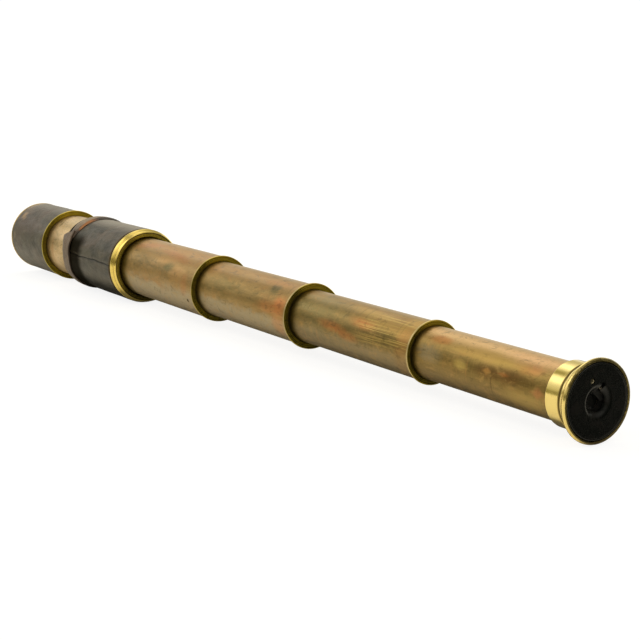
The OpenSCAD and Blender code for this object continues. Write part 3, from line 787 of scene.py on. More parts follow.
def barrel_shade_and_seam(tree, mid, small):
    """Painted shade on the barrel's leather: its underside and a painted shadow beside the keeper
    band; its dark seam.
    """
    paint, angle = tree.paint, tree.angle
    low_shade_amount, band_shadow_amount = 0.86, 0.93
    # painted shade: nearly black and dull on the underside
    low_shade = tree.sector((-14, -44), (-165, -130), mid.swing(14.0))
    paint((0.004, 0.004, 0.003), low_shade * low_shade_amount)
    specular = tree.lerp(low_shade * low_shade_amount, LEATHER_SPECULAR, 0.02)
    dull = low_shade * low_shade_amount

    # painted shadow of the keeper band on the leather beside it
    end, width = band.x0 - 4.5, 28.0
    beside = (tree.x + mid.swing(5.0)).step(end - width, end - 0.50 * width)
    beside = beside * angle.step(46.0, 24.0) * angle.step(-150.0, -110.0)
    beside = beside.max(tree.x.step(end - 4.0, end - 2.0) * 0.8)
    paint((0.007, 0.006, 0.003), beside * band_shadow_amount)
    specular = specular * (1.0 - beside * band_shadow_amount)
    dull = dull.max(beside)

    wander1, wander2 = [tree.math("SINE", tree.x.madd(f, k * BARREL_SEAM_SEED)) * a
                        for f, k, a in SEAM_WANDER]
    off = (angle - BARREL_SEAM_ANGLE) * (math.pi / 180) - (wander1 + wander2)
    off = off * hide.radius                              # mm from the seam
    line = (abs(off) + small.swing(0.5)).step(0.85, 0.25)
    ticks = tree.math("FRACT", tree.x * 0.17).near(0.5, 0.07, 0.03)
    ticks = ticks * abs(off).step(2.3, 1.5)
    paint((0.12, 0.10, 0.07), off.near(1.5, 0.8, 0.2) * mid.step(0.4, 0.55) * 0.35)
    paint((0.008, 0.007, 0.005), line.max(ticks * 0.50) * 0.76)
    return specular * (1.0 - line * 0.7), dull


SEAT_RADIUS = hide.radius - 0.3           # rebate under the keeper band
sleeve("barrel_leather", barrel, "barrel", leather(
    "barrel_leather_hide", hide.radius, seed=1.0,
    scuffs=(((0.11, 0.07, 0.04), ahead(88), 62, 3, 9, 0.40),
            ((0.09, 0.055, 0.034), ahead(60), 30, 16, 5, 0.30),
            ((0.13, 0.085, 0.055), ahead(42), 54, 3, 11, 0.40),
            ((0.11, 0.075, 0.05), ahead(30), 62, 4, 8, 0.35),
            ((0.070, 0.066, 0.056), ahead(70), -16, 20, 6, 0.35)),
    worn_edges=((ahead(9.6), 0.7, 0.5),), lit_crest_colour=(0.36, 0.32, 0.26), extra=barrel_shade_and_seam),
    BARREL_SEAM_ANGLE, BARREL_SEAM_SEED, rear_round=0.85, seat=(band.x0 + 0.2, SEAT_RADIUS))

# ------------------------------------------------------------------ keeper band
# One strip wound round the sleeve's front end, its outer end lapped over its inner end.

# degrees that the strip has run from its free end, shift of its rear edge, of its front edge
STRIP_EDGES = np.array([
    (0, -3.6, 0), (16, -5.0, -2.2), (28, -5.8, -4.4), (41, -6.2, -4.7), (54, -4.6, -2.6),
    (68, -1.6, -0.4), (88, -0.3, 0), (130, 0, 0), (220, 0, 0), (250, -1.5, -1.5),
    (281, -6.5, -5.2), (302, -8.0, -6.8), (315, -8.2, -6.3), (326, -7.4, -6.3),
    (337, -6.4, -6.3), (345, -5.9, -6.2), (355, -5.3, -7.4), (364, -4.0, -7.6),
    (376, -3.0, -7.6), (420, -2.0, -7.0)])
STRIP_START = math.radians(41.0)          # the free end
STRIP_LAP = math.radians(58.0)
STRIP_THICK = 1.45
STRIP_STEPS = 420


def strip_section(run):
    """The strip's section where it has run so many radians, and its placed points."""
    angle = STRIP_START - run
    deg = math.degrees(run)
    on_top = max(0.0, 1.0 - run / STRIP_LAP)             # 1 at the free end, 0 past the lap
    under = max(0.0, (run - 2 * math.pi) / STRIP_LAP)
    lift = 1.25 * (1 - math.cos(math.pi * min(1.0, on_top * 1.6))) / 2
    thick = STRIP_THICK * (1.0 - 0.35 * under) * (1.0 - 0.10 * min(1, on_top * 2))
    thick += 0.35 * ease(deg, 200, 290) * (1 - ease(deg, 352, 360))
    bevel = 2.6 * ease(deg, 210, 285) * (1 - ease(deg, 364, 376))
    runs, rear_shift, front_shift = STRIP_EDGES.T
    waver = 0.35 * math.sin(angle * 2 + 0.7) + 0.2 * math.sin(angle * 5 + 2.0)
    rear = band.x0 + float(np.interp(deg, runs, rear_shift)) + waver * 0.3
    front = band.x1 - 0.1 + float(np.interp(deg, runs, front_shift))
    front += 0.15 * math.sin(angle * 3 + 1.0)
    inner = SEAT_RADIUS + 0.03 + lift
    outer = min(inner + thick, band.radius + 1.2)
    ripple = 0.05 * math.sin(angle * 9 + 1) + 0.04 * math.sin(angle * 23 + 4)
    seat = max(inner, hide.radius + 0.06)

    points = [(seat, rear + 0.15 - bevel), (seat + 0.35, rear - bevel), (outer - 0.2, rear + 0.10),
              (outer - 0.05, rear + 0.35), (outer, rear + 0.9)]
    for k in range(1, 12):
        f = k / 11
        drop = 0.95 * max(0.0, f - 0.55) ** 1.6 * 2.2
        points.append((outer + ripple + 0.06 * math.sin(f * 9 + angle * 4) - drop,
                       rear + 0.9 + (front - rear - 1.8) * f))
    edge = points[-1][0]
    points += [(edge - 0.25, front - 0.5), (edge - 0.6, front - 0.15), (edge - 0.95, front)]
    # the front edge droops towards the bare tube
    bare = barrel.radius + 0.62
    inner_front = max(bare, min(edge - 1.3, inner))
    points += [(inner_front + 0.02, front - 0.02), (inner_front, front - 0.3)]
    hide_end = hide.x1 + 0.03
    if lift < 0.2 and bare < inner and front > hide_end + 0.4:
        points += [(inner_front, hide_end + 0.05), (inner, hide_end), (inner, hide_end - 0.4)]
    else:
        points += [(inner, front - 0.6), (inner, front - 0.9), (inner, front - 1.2)]
    points += [(inner, max(band.x0 + 1.2, rear + 1.2)), (seat, max(band.x0 + 0.15, rear + 0.4))]

    skew = math.radians(-11.0) * math.exp(-(deg / 16.0) ** 2)    # the free end is cut slantwise
    placed = []
    for radius, x in points:
        a = angle + skew * max(0.0, min(1.0, (x - rear) / (front - rear)))
        placed.append((x, radius * math.cos(a), radius * math.sin(a)))
    return placed


def band_leather():
    tree = new_material("band_leather_strip")
    paint, angle = tree.paint, tree.angle
    big = tree.noise(tree.point, scale=0.09, detail=4, rough=0.6, distort=0.8)
    mid = tree.noise(tree.point, scale=0.35, detail=4, rough=0.62, distort=0.4)
    grain = tree.cell_edges(tree.point, 1.4).step(0.0, 0.18)
    fibre = tree.noise(tree.stretch(2.5, 0.8), detail=4, rough=0.7)
    tree.colour = tree.mix(big.step(0.4, 0.66), (0.118, 0.080, 0.054), (0.17, 0.116, 0.076))
    # painted light: paler tan over the top
    paint((0.34, 0.245, 0.145), tree.sector((38, 70), (168, 120), mid.swing(24.0)) * 0.85)
    paint((0.05, 0.034, 0.022), (1.0 - grain) * 0.25)
    paint((0.072, 0.046, 0.030), mid.step(0.52, 0.72, last=0.60))
    paint((0.050, 0.026, 0.014), tree.sector((34, 41), (46, 41.5)) * 0.7)   # at the free end
    # the rear edge is dark and fibrous, with painted shade over it; the lap's bevelled edge has
    # painted light, orange-brown
    upper = tree.sector((40, 44), (150, 120))
    edge_x = tree.lerp(upper, band.x0 - 5.2, band.x0 - 6.2) + angle.step(0.0, -42.0, last=5.2)
    cut = (tree.x + fibre.swing(0.6) - edge_x).step(0.6, -0.1)
    paint((0.030, 0.016, 0.008), cut * 0.94)
    lit = cut * angle.step(42.0, 50.0) * angle.step(84.0, 66.0)
    paint((0.42, 0.165, 0.048), lit * fibre.step(0.25, 0.60, first=0.55))
    return tree.finish(mid * 0.2 + 0.46, specular=0.40, sheen=0.10,
                       relief=((big + mid, 0.4, 0.001),
                               (grain * 0.4 + fibre * 0.5, 0.4, 0.00012)))


strip_material = band_leather()
strip_length = 2 * math.pi + STRIP_LAP
strip_sections = [strip_section(i / STRIP_STEPS * strip_length) for i in range(STRIP_STEPS + 1)]
add_piece("keeper_band", "strip", loft(strip_sections), "barrel",
          strip_material, sharp=55)

# ------------------------------------------------------------------ barrel end ring
# Two turned beads with a groove between them, and the guide sleeve inside.

def ring_extra(tree, roughness, haze, spots):
    """Olive rear face with painted light over its top; dirt and painted shade at the bore; painted
    reflection over the top, painted shade below; dull guide sleeve.
    """
    paint, x, radius, angle = tree.paint, tree.x, tree.radius, tree.angle
    face_cover = 1.0
    face = x.step(ahead(0.75), ahead(0.30)) * radius.step(24.9, 24.3) * face_cover
    # painted light: the face is brighter over the top; it darkens towards the bore
    upper = angle.near(104.0, 52.0, 24.0)
    face_colour = tree.mix(radius.step(24.2, 22.6), (0.36, 0.275, 0.030), (0.150, 0.110, 0.012))
    face_colour = tree.mix(upper * 0.70, face_colour, (0.92, 0.68, 0.060))
    paint(face_colour, face * 0.96)
    # dirt and painted shade in the recess at the bore
    paint((0.085, 0.062, 0.010), radius.step(22.6, 22.15) * x.step(ahead(1.2), ahead(0.8)))
    # painted reflection: a duller olive band over the top
    paint((0.30, 0.24, 0.045), angle.near(112.0, 44.0, 18.0) * 0.36)
    # painted shade: darker underneath
    paint((0.060, 0.046, 0.008), tree.sector((-28, -47), (-168, -138), haze.swing(16.0)) * 0.80)
    paint((0.22, 0.17, 0.06), x.step(ahead(9.2), ahead(9.8)) * 0.8)
    return roughness + face * 0.12, 1.0 - face * 0.62


guide = draw[1].radius + SLIDE
over_tube, in_tube = barrel.radius + FIT, barrel.bore - FIT
ring_brass = gold("end_ring_brass", bright=(0.88, 0.68, 0.19), dull=(0.56, 0.43, 0.08),
                  tarnish=0.45, roughness=0.13, grooves=((ahead(3.7), 0.45, 0.55),),
                  extra=ring_extra, wave=0.05, speck=0.35)
ring_profile = (
    [(guide, ahead(0.6)), (guide + 1.1, ahead(0.6)), (guide + 1.1, ahead(0.1)),
     (24.75, ahead(0.1))]
    + arc(24.7, ahead(1.75), 1.72, -84, 42, 18)
    + [(26.02, ahead(3.35)), (25.95, ahead(3.6)), (26.02, ahead(3.95))]
    + arc(25.6, ahead(6.1), 1.85, -68, 62, 18)
    + [(26.4, ahead(8.0)), (26.4, ahead(9.1)), (over_tube, ahead(9.1)), (over_tube, ahead(3.95)),
       (in_tube, ahead(3.95)), (in_tube, ring.x1), (guide, ring.x1)])
lathe("barrel_end_ring", support(soften(ring_profile, 0.10)), "barrel",
      ring_brass, 320)

# ------------------------------------------------------------------ draw tubes

draw_brass = {
    1: tube_brass(
        "draw1_brass", draw[1].radius, 1, base=(0.36, 0.235, 0.098), top=0.75, underside_sheen=0.85,
        copper=0.30, olive=0.55,
        patches=(((0.11, 0.115, 0.045), -129, 32, 8, 3.2, 0.75, 0),
                 (COPPER, -79, 66, 22, 3.2, 0.55, -12), (COPPER, -130, 56, 22, 3.4, 0.55, 6),
                 (PINK, -145, 22, 12, 6, 0.5, 0), (PINK, -120, 44, 14, 4, 0.45, 0),
                 (OLIVE, -80, 30, 18, 6, 0.45, 0), (COPPER, -158, 8, 5, 7, 0.45, 0)),
        shaded_ends=((ahead(-14.0), ahead(-5.0), 0.80), (ahead(-5.0), ahead(-1.0), 0.5))),
    2: tube_brass(
        "draw2_brass", draw[2].radius, 2, base=(0.335, 0.225, 0.088), top=0.55, underside_sheen=0.85,
        copper=0.25, olive=0.6,
        patches=((PINK, -184, 56, 9, 4, 0.6, 0),
                 ((0.19, 0.155, 0.052), -205, 28, 22, 5, 0.45, 0),
                 ((0.52, 0.22, 0.075), -268, 12, 12, 3.6, 0.60, 0),
                 ((0.54, 0.21, 0.07), -280, 19, 7, 6, 0.85, 0),
                 ((0.50, 0.24, 0.10), -280, -16, 7, 7, 0.6, 0),
                 ((0.24, 0.085, 0.03), -281, 21, 3, 2.2, 0.6, 0),
                 (COPPER, -265, 66, 14, 3, 0.35, 0),
                 ((0.13, 0.12, 0.05), -268, 50, 6, 3.4, 0.7, 0)),
        shaded_ends=((collar[1].x0 - 7.0, collar[1].x0 - 0.8, 0.75),)),
    3: tube_brass(
        "draw3_brass", draw[3].radius, 3, base=(0.285, 0.205, 0.078), top=0.40, underside_sheen=0.45,
        copper=0.15, olive=0.7, belly_shade=0.35, rubbed=(-392, 40, 0.75),
        patches=((COPPER, -336, 12, 13, 2.6, 0.75, 4), (COPPER, -366, 34, 12, 3.0, 0.7, 4),
                 (COPPER, -353, 1, 9, 2.4, 0.5, 4), (KHAKI, -330, 60, 26, 5, 0.5, 0),
                 (GOLDEN, -372, 60, 26, 3.4, 0.55, 6), (GOLDEN, -388, 36, 18, 2.4, 0.45, 6),
                 (GOLDEN, -404, 60, 7, 9, 0.75, 0),
                 ((0.40, 0.20, 0.07), -405, 24, 6, 8, 0.60, 0),
                 ((0.32, 0.19, 0.07), -404, -20, 6, 9, 0.45, 0),
                 ((0.235, 0.205, 0.095), -314, 46, 24, 9, 0.50, 0),
                 ((0.235, 0.195, 0.10), -318, -6, 14, 5, 0.40, 0),
                 (OLIVE, -385, 20, 13, 4, 0.6, 0)),
        shaded_ends=((collar[2].x0 - 6.5, collar[2].x0 - 0.8, 0.75),)),
    4: tube_brass(
        "draw4_brass", draw[4].radius, 4, base=(0.37, 0.255, 0.088), top=0.9, underside_sheen=0.10,
        copper=0.2, olive=0.45, belly_shade=0.50, top_tint_and_light_colour=(0.70, 0.47, 0.26),
        patches=((COPPER, -430, 50, 8, 2.6, 0.55, 0), (GOLDEN, -470, 44, 26, 3.2, 0.55, 0),
                 (GREY, -426, 16, 9, 4, 0.6, 0), (BROWN, -473, 14, 9, 3.2, 0.60, 0),
                 ((0.62, 0.46, 0.16), -452, 12, 5.2, 2.1, 0.72, 6),
                 ((0.58, 0.31, 0.10), -472.5, 14.5, 3.6, 1.8, 0.72, 0),
                 ((0.09, 0.06, 0.02), -475.9, -3, 0.55, 6.5, 0.55, 0),
                 (BROWN, -490, 16, 13, 3.2, 0.75, 0), (COPPER, -484, 17, 4.5, 1.3, 0.65, 0),
                 ((0.50, 0.20, 0.10), -509, 2, 4.5, 3.2, 0.50, 0),
                 ((0.70, 0.43, 0.26), -498, 64, 18, 4.5, 0.50, 0),
                 ((0.60, 0.29, 0.15), -504, 44, 5, 2.5, 0.40, 0),
                 (COPPER, -500, 40, 7, 2.6, 0.30, 0), (ORANGE, -432, 52, 6, 2.2, 0.5, 0),
                 ((0.55, 0.40, 0.14), -500, -22, 16, 4, 0.4, 0),
                 (OLIVE, -500, 12, 6, 2.4, 0.45, 0), (OLIVE, -432, 30, 12, 3, 0.4, 0)),
        shaded_ends=((collar[3].x0 - 5.0, collar[3].x0 - 0.6, 0.7),)),
}
for i in (2, 3, 4):
    add_tube(f"draw{i}_tube", draw_brass[i], 288)

# the first end ring's screw sits in a hole through tube and guide sleeve
lock = places["draw1_collar_screw"]
lock_direction = Vector((0, lock.y, lock.z)).normalized()


def lock_hole():
    return rod((lock.x, 0, 0), lock_direction, [(10, 1.25), (draw[1].radius + 3, 1.25)])


lathe_cut("draw1_tube", tube_profile(draw[1]), "draw1", draw_brass[1],
          [lock_hole()], 288)


def collar_profile(i):
    """End ring of a draw tube: rounded lip, face groove, recess at the bore, guide sleeve."""
    x, outer = collar[i].x0, collar[i].radius
    bore, sleeve_radius = draw[i + 1].radius + SLIDE, draw[i].bore - FIT
    groove = outer - 1.05
    return support(soften(
        [(bore, x + 0.38), (bore + 0.55, x + 0.38), (bore + 0.55, x + 0.12),
         (groove - 0.35, x + 0.12), (groove - 0.35, x + 0.45), (groove, x + 0.45), (groove, x),
         (outer - 0.45, x), (outer - 0.2, x + 0.08), (outer - 0.06, x + 0.24), (outer, x + 0.45),
         (outer, x + 1.1), (outer - 0.2, x + 1.3), (sleeve_radius, x + 1.3),
         (sleeve_radius, collar[i].x1), (bore, collar[i].x1)], 0.09))


collar_brass = {
    i: dark_brass(f"collar{i}_brass", collar[i].radius, draw[i + 1].radius, edge=edge,
                  pale_rim=pale_rim, dirt_and_shade=dirt_and_shade)
    for i, edge, pale_rim, dirt_and_shade in ((1, 0.24, 0.25, 0.72), (2, 0.24, 0.42, 0.90),
                                    (3, 0.45, 0.42, 0.82))}
lathe_cut("draw1_collar", collar_profile(1), "draw1", collar_brass[1],
          [lock_hole()], 288)
for i in (2, 3):
    lathe(f"draw{i}_collar", collar_profile(i), f"draw{i}", collar_brass[i], 288)

screw_brass = dark_brass("screw_brass", light=(0.20, 0.09, 0.05), dark=(0.08, 0.04, 0.025))
small_screw("draw1_collar_screw", (lock.x, 0, 0), lock_direction, radius=1.2,
            root=draw[2].radius + 0.55, top=draw[1].radius - 0.22, dome=0.08, edge=0.12,
            slot_width=0.36, slot_turn=25, body="draw1", material=screw_brass)

# ------------------------------------------------------------------ sunshade

shade_tube, shade_hide = places["sunshade_tube"], places["sunshade_leather"]
rear_ring, front_ring = places["sunshade_rear_ring"], places["sunshade_front_ring"]
add_tube("sunshade_tube", matt_black("shade_tube_black", 0.5, 0.35))
sleeve("sunshade_leather", shade_tube, "sunshade", leather(
    "sunshade_leather_hide", shade_hide.radius, seed=4.0, base=(0.044, 0.038, 0.024),
    warm=(0.088, 0.056, 0.034),
    scuffs=(((0.36, 0.26, 0.15), ahead(226), 78, 5, 7, 0.75),
            ((0.46, 0.29, 0.13), ahead(217), 46, 4, 3, 0.65),
            ((0.40, 0.25, 0.12), ahead(212), 40, 3, 2, 0.45),
            ((0.24, 0.17, 0.11), ahead(221), 60, 8, 7, 0.35),
            ((0.09, 0.058, 0.042), ahead(190), 30, 22, 8, 0.45),
            ((0.12, 0.074, 0.05), ahead(178), 58, 5, 9, 0.40),
            ((0.20, 0.15, 0.10), ahead(222), 6, 2.5, 3, 0.55),
            ((0.030, 0.026, 0.018), ahead(200), 48, 6, 6, 0.45),
            ((0.10, 0.062, 0.044), ahead(212), 10, 10, 12, 0.35)),
    worn_edges=((ahead(227.6), 0.8, 0.6), (ahead(151.8), 0.6, 0.4))),
    seam_angle=-128, seed=7, rear_round=0.5, front_round=0.6)


def add_rear_ring():
    x, outer, bore = rear_ring.x0, rear_ring.radius, barrel.radius + SLIDE
    inside = shade_tube.bore - FIT
    material = dark_brass("shade_rear_brass", outer, bore, edge=0.35, light=(0.60, 0.475, 0.038),
                          dark=(0.36, 0.285, 0.022), rim_colour=(0.62, 0.50, 0.10))
    profile = [(bore, x + 0.5), (bore + 0.7, x + 0.5), (bore + 0.7, x + 0.1),
               (outer - 1.5, x + 0.1), (outer - 1.5, x + 0.4), (outer - 1.15, x + 0.4),
               (outer - 1.15, x), (outer - 0.4, x), (outer - 0.1, x + 0.2), (outer, x + 0.5),
               (outer, x + 1.2), (outer - 0.3, x + 1.55), (inside, x + 1.55),
               (inside, rear_ring.x1), (bore, rear_ring.x1)]
    lathe("sunshade_rear_ring", support(soften(profile, 0.10)), "sunshade",
          material, 320)


def add_front_ring():
    x, outer, bore = front_ring.x1, front_ring.radius, shade_tube.bore
    material = gold("shade_front_brass", bright=(0.58, 0.44, 0.17), dull=(0.34, 0.25, 0.085),
                    tarnish=0.85, roughness=0.24, speck=0.35)
    profile = [(bore - 0.8, x - 9), (bore - FIT, x - 9), (bore - FIT, x - 1.55),
               (outer - 0.3, x - 1.55), (outer, x - 1.2), (outer, x - 0.6),
               (outer - 0.35, x - 0.1), (outer - 0.9, x), (bore + 0.2, x),
               (bore - 0.5, x - 0.3), (bore - 0.8, x - 0.9)]
    lathe("sunshade_front_ring", support(soften(profile, 0.10)), "sunshade",
          material, 320)


add_rear_ring()
add_front_ring()

# ------------------------------------------------------------------ eyepiece bell

bell, disc = places["eyepiece_bell"], places["eyecup_disc"]
BELL_FRONT, BELL_REAR = bell.x1, bell.x0
LIP_RADIUS = bell.radius
NECK_RADIUS = 15.6 * bell.radius / 19.5
DISC_RADIUS = disc.radius
SKIRT_RADIUS = DISC_RADIUS - 1.7
STEP_X = BELL_REAR + 2.3                  # where the disc steps down to its skirt
SHOULDER_X = BELL_REAR + 7.4


def bell_extra(tree, roughness, haze, spots):
    """Dirt and painted shade on the rear face inside the lip, with painted light on its lower +Y
    side; a dark line behind it; painted shade on the underside.
    """
    paint, x, radius = tree.paint, tree.x, tree.radius
    face = x.step(BELL_REAR + 1.35, BELL_REAR + 0.75)
    face = face * radius.step(LIP_RADIUS - 1.95, LIP_RADIUS - 1.6)
    face = face * (radius + spots.swing(0.25)).step(LIP_RADIUS + 0.02, LIP_RADIUS - 0.16)
    ragged = (haze + spots.swing(0.7)).step(0.36, 0.52, first=0.70)
    # painted light: the outer part of the face stays bright low on the +Y side
    lit_side = tree.sector((30, 8), (-84, -64), haze.swing(24.0))
    remaining = (lit_side * radius.step(LIP_RADIUS - 1.15, LIP_RADIUS - 0.80)).madd(-0.86, 1.0)
    # dirt and painted shade on the rear face inside the lip
    dirt_and_shade = face * ragged * remaining
    paint((0.085, 0.065, 0.014), dirt_and_shade * 0.93)
    line = x.near(BELL_REAR + 2.75, 0.34, 0.14) * tree.sector((22, -12), (-168, -140))
    paint((0.14, 0.09, 0.02), line * 0.85)
    # painted shade: darker on the underside by the lip
    low_shade = tree.sector((-50, -74), (-168, -138), haze.swing(20.0))
    paint((0.095, 0.068, 0.018), low_shade * x.step(BELL_REAR + 2.4, BELL_REAR + 1.6) * 0.80)
    return roughness + dirt_and_shade * 0.22, 1.0 - dirt_and_shade * 0.3


def add_bell():
    front, rear, neck = BELL_FRONT, BELL_REAR, NECK_RADIUS
    over_tube, bore = draw[4].radius + FIT, draw[4].bore
    material = gold("bell_brass", bright=(0.92, 0.735, 0.275), dull=(0.68, 0.53, 0.15),
                    tarnish=0.14, roughness=0.10, speck=0.18, wave=0.07, extra=bell_extra,
                    grooves=((front - 9.25, 1.20, 0.93), (front - 0.1, 0.22, 0.5)))
    flare_start, flare_end, flare_turn = neck + 0.08, 17.85, 72

    def rise(turn):
        return 1 - math.cos(math.radians(turn))
    flare = [(flare_start + (flare_end - flare_start) * rise(flare_turn * i / 14)
              / rise(flare_turn), front - 9.7 - 4.05 * i / 14) for i in range(1, 15)]
    profile = (
        [(over_tube, front), (neck - 0.35, front), (neck - 0.1, front - 0.15),
         (neck, front - 0.4), (neck, front - 8.35), (neck - 0.25, front - 8.6),
         (neck - 0.5, front - 8.8), (neck - 0.5, front - 9.4), (neck - 0.2, front - 9.6),
         (flare_start, front - 9.7)]
        + flare + [(17.75, front - 14.0), (17.95, front - 14.15)]
        + arc(LIP_RADIUS - 1.3, rear + 1.3, 1.3, 62, -90, 20)
        + [(DISC_RADIUS + 0.12, rear + 0.35), (DISC_RADIUS + FIT, rear + 0.9),
           (DISC_RADIUS + FIT, STEP_X), (SKIRT_RADIUS + FIT, STEP_X),
           (SKIRT_RADIUS + FIT, rear + 4.4), (bore + 2.15, rear + 5.4),
           (bore + 2.15, SHOULDER_X - 0.6), (bore, SHOULDER_X - 0.6), (bore, SHOULDER_X),
           (over_tube, SHOULDER_X)])
    lathe("eyepiece_bell", support(soften(profile, 0.07), near=0.2, longer=1.5, step=2.5),
          "draw4", material, 320)


add_bell()

# ------------------------------------------------------------------ eye disc and shutter

pivot = places["shutter_pivot_screw"]
knob = places["shutter_knob"]
blade = places["shutter_blade"]
DISC_X = disc.x0                          # the disc's rear face
PIVOT_OFF_AXIS = math.hypot(pivot.y, pivot.z)
BLADE_ANGLE = math.degrees(math.atan2(pivot.z, pivot.y)) + 180 - 36
KNOB_REACH = 6.78                         # from the pivot


def from_pivot(reach, degrees):
    """The y and z at a distance from the pivot."""
    turn = math.radians(degrees)
    return pivot.y + reach * math.cos(turn), pivot.z + reach * math.sin(turn)


def add_disc():
    """Black eye disc with its hollow, the knob's curved slot and the pivot hole."""
    x, outer = DISC_X, DISC_RADIUS
    cavity_x = x + 2.4
    seat_x = cavity_x + 1.3
    hollow, eye_hole, recess = 7.9, 4.8, 14.85           # radii
    profile = [(eye_hole, cavity_x), (eye_hole, x + 2.0)]
    profile += [(eye_hole + 0.05 + (hollow - eye_hole - 0.05) * i / 24,
                 x + 1.9 * (1 - ease(i / 24, -0.22, 1.06))) for i in range(24)]
    profile += [(hollow + 0.1, x + 0.004), (hollow + 0.3, x), (hollow + 0.6, x), (hollow + 2.5, x)]
    # the outer rim: distance inside the outer radius, distance in front of the face
    profile += [(outer - inset, x + dx) for inset, dx in (
        (3.5, 0), (1.8, 0), (1.55, 0), (1.40, 0.05), (1.28, 0.07), (1.16, 0.05), (1.0, 0.02),
        (0.75, 0.06), (0.35, 0.35), (0.1, 0.8), (0, 1.3))]
    profile += [(outer, STEP_X - 0.02), (SKIRT_RADIUS, STEP_X - 0.02),
                (SKIRT_RADIUS, seat_x + 0.7), (recess + 0.05, seat_x + 0.7),
                (recess + 0.05, seat_x - 0.02), (13.9, seat_x - 0.02), (13.9, cavity_x)]
    material = black_gloss("eye_disc_black")

    half, start, end = 1.05, BLADE_ANGLE - 14, BLADE_ANGLE + 38    # the slot
    outline = (arc(pivot.y, pivot.z, KNOB_REACH + half, start, end, 24)
               + arc(*from_pivot(KNOB_REACH, end), half, end, end + 180, 12)[1:-1]
               + arc(pivot.y, pivot.z, KNOB_REACH - half, end, start, 24)
               + arc(*from_pivot(KNOB_REACH, start), half, start + 180, start + 360, 12)[1:-1])
    slot = solid(loft([[(sx, y, z) for y, z in outline] for sx in (x - 1, x + 3.2)]))
    pivot_hole = rod((x - 1, pivot.y, pivot.z), (1, 0, 0),
                     [(0, 1.34), (1.75, 1.34), (1.78, 0.82), (5, 0.82)])
    lathe_cut("eyecup_disc", profile, "draw4", material, [slot, pivot_hole],
              256, sharp=30)


def blade_shape():
    """The shutter blade: a flat lever with rounded edges, wide over the axis."""
    wide, narrow = 4.7, 2.6                              # end radii
    tangent = math.degrees(math.acos((wide - narrow) / PIVOT_OFF_AXIS))
    outline = (arc(PIVOT_OFF_AXIS, 0, wide, -tangent, tangent, 40)
               + arc(0, 0, narrow, tangent, 360 - tangent, 24))
    centre = sum(p[0] for p in outline) / len(outline)
    c, s = math.cos(math.radians(BLADE_ANGLE)), math.sin(math.radians(BLADE_ANGLE))

    def layer(x, inset):
        points = []
        for u, v in outline:
            du = u - centre
            length = math.hypot(du, v)
            u, v = u - du / length * inset, v - v / length * inset
            points.append((x, pivot.y + u * c - v * s, pivot.z + u * s + v * c))
        return points
    edge = ((0, 0.14), (0.05, 0.04), (0.14, 0.0))        # depth, inset
    layers = [layer(blade.x0 + depth, inset) for depth, inset in edge]
    layers += [layer(blade.x1 - depth, inset) for depth, inset in edge[::-1]]
    holes = [rod((blade.x0 - 1, *place), (1, 0, 0), [(0, radius), (4, radius)], 32)
             for place, radius in (((pivot.y, pivot.z), 0.85),
                                   (from_pivot(KNOB_REACH, BLADE_ANGLE), 0.5))]
    return carve(loft(layers), holes)


def knob_shape():
    radius, shank, tip, root = 0.85, 0.48, knob.x0, blade.x0 - 0.02
    profile = [(0, knob.x1), (shank, knob.x1), (shank, root), (radius, root),
               (radius, tip + 0.62)]
    profile += [(radius * math.cos(math.radians(a)), tip + 0.5 - 0.5 * math.sin(math.radians(a)))
                for a in range(0, 85, 8)]
    profile += [(0, tip)]
    verts, faces = revolve(profile, 48)
    knob_y, knob_z = from_pivot(KNOB_REACH, BLADE_ANGLE)
    return [(x, y + knob_y, z + knob_z) for x, y, z in verts], faces


add_disc()
pivot_brass = gold("pivot_brass", bright=(0.42, 0.37, 0.25), dull=(0.20, 0.17, 0.10),
                   tarnish=0.5, roughness=0.22)
small_screw("shutter_pivot_screw", (pivot.x1, pivot.y, pivot.z), (-1, 0, 0), radius=1.28,
            root=pivot.x1 - DISC_X - 0.75, top=pivot.x1 - DISC_X - 0.30, dome=0.28, edge=0.2,
            slot_width=0.28, slot_turn=40, body="draw4", material=pivot_brass)
knob_brass = gold("knob_brass", bright=(0.16, 0.14, 0.11), dull=(0.04, 0.035, 0.025),
                  tarnish=0.8, roughness=0.2)
add_piece("shutter_blade", "flat", blade_shape(), "shutter",
          matt_black("blade_black", 0.4, 0.3), sharp=30)
add_piece("shutter_knob", "turned", knob_shape(), "shutter", knob_brass,
          sharp=35)

# ------------------------------------------------------------------ pieces that keep their CAD shape

inner_brass = dark_brass("inner_dark_brass", light=(0.30, 0.23, 0.08), dark=(0.14, 0.11, 0.04),
                         shade=False)
inner_by_slot = {"blackened_brass": matt_black("inner_black"), "lens_glass": glass("lens_glass")}
cell_brass = dark_brass("cell_brass", bore=22.0, light=(0.10, 0.08, 0.03),
                        dark=(0.03, 0.026, 0.014))
for node, ob in NODES.items():
    if ob.hide_render:
        continue
    material = inner_by_slot.get(SLOT_OF[node], inner_brass)
    if node in ("objective_cell", "objective_retaining_ring"):
        material = cell_brass
    ob.data.materials.clear()
    ob.data.materials.append(material)

# ------------------------------------------------------------------ floor

scene = bpy.context.scene
scene.view_settings.view_transform = "Standard"
scene.view_settings.look = "None"

# the main view's axes; lights and dark side turn with the camera
CAMERA_RIGHT = Vector((-0.5171, -0.855925, 0.000203))
CAMERA_UP = Vector((0.15621, -0.09414, 0.983227))
CAMERA_BACK = Vector((-0.84155, 0.508458, 0.182384))
# the unlit side of the studio, beside and behind the camera
DARK_SIDE = Vector((-0.96, -0.25, -0.05)).normalized()


def dot(signals, direction):
    a, b, c = signals
    return a * direction[0] + b * direction[1] + c * direction[2]


def camera_rig(tree, vector, sign=1.0):
    """The x, y and z of a direction as seen from the main view, times sign."""
    seen = tree.split(tree.node("ShaderNodeVectorTransform", (vector,), vector_type="VECTOR",
                                convert_from="WORLD", convert_to="CAMERA"))
    return [dot(seen, (sign * CAMERA_RIGHT[i], sign * CAMERA_UP[i], -sign * CAMERA_BACK[i]))
            for i in range(3)]


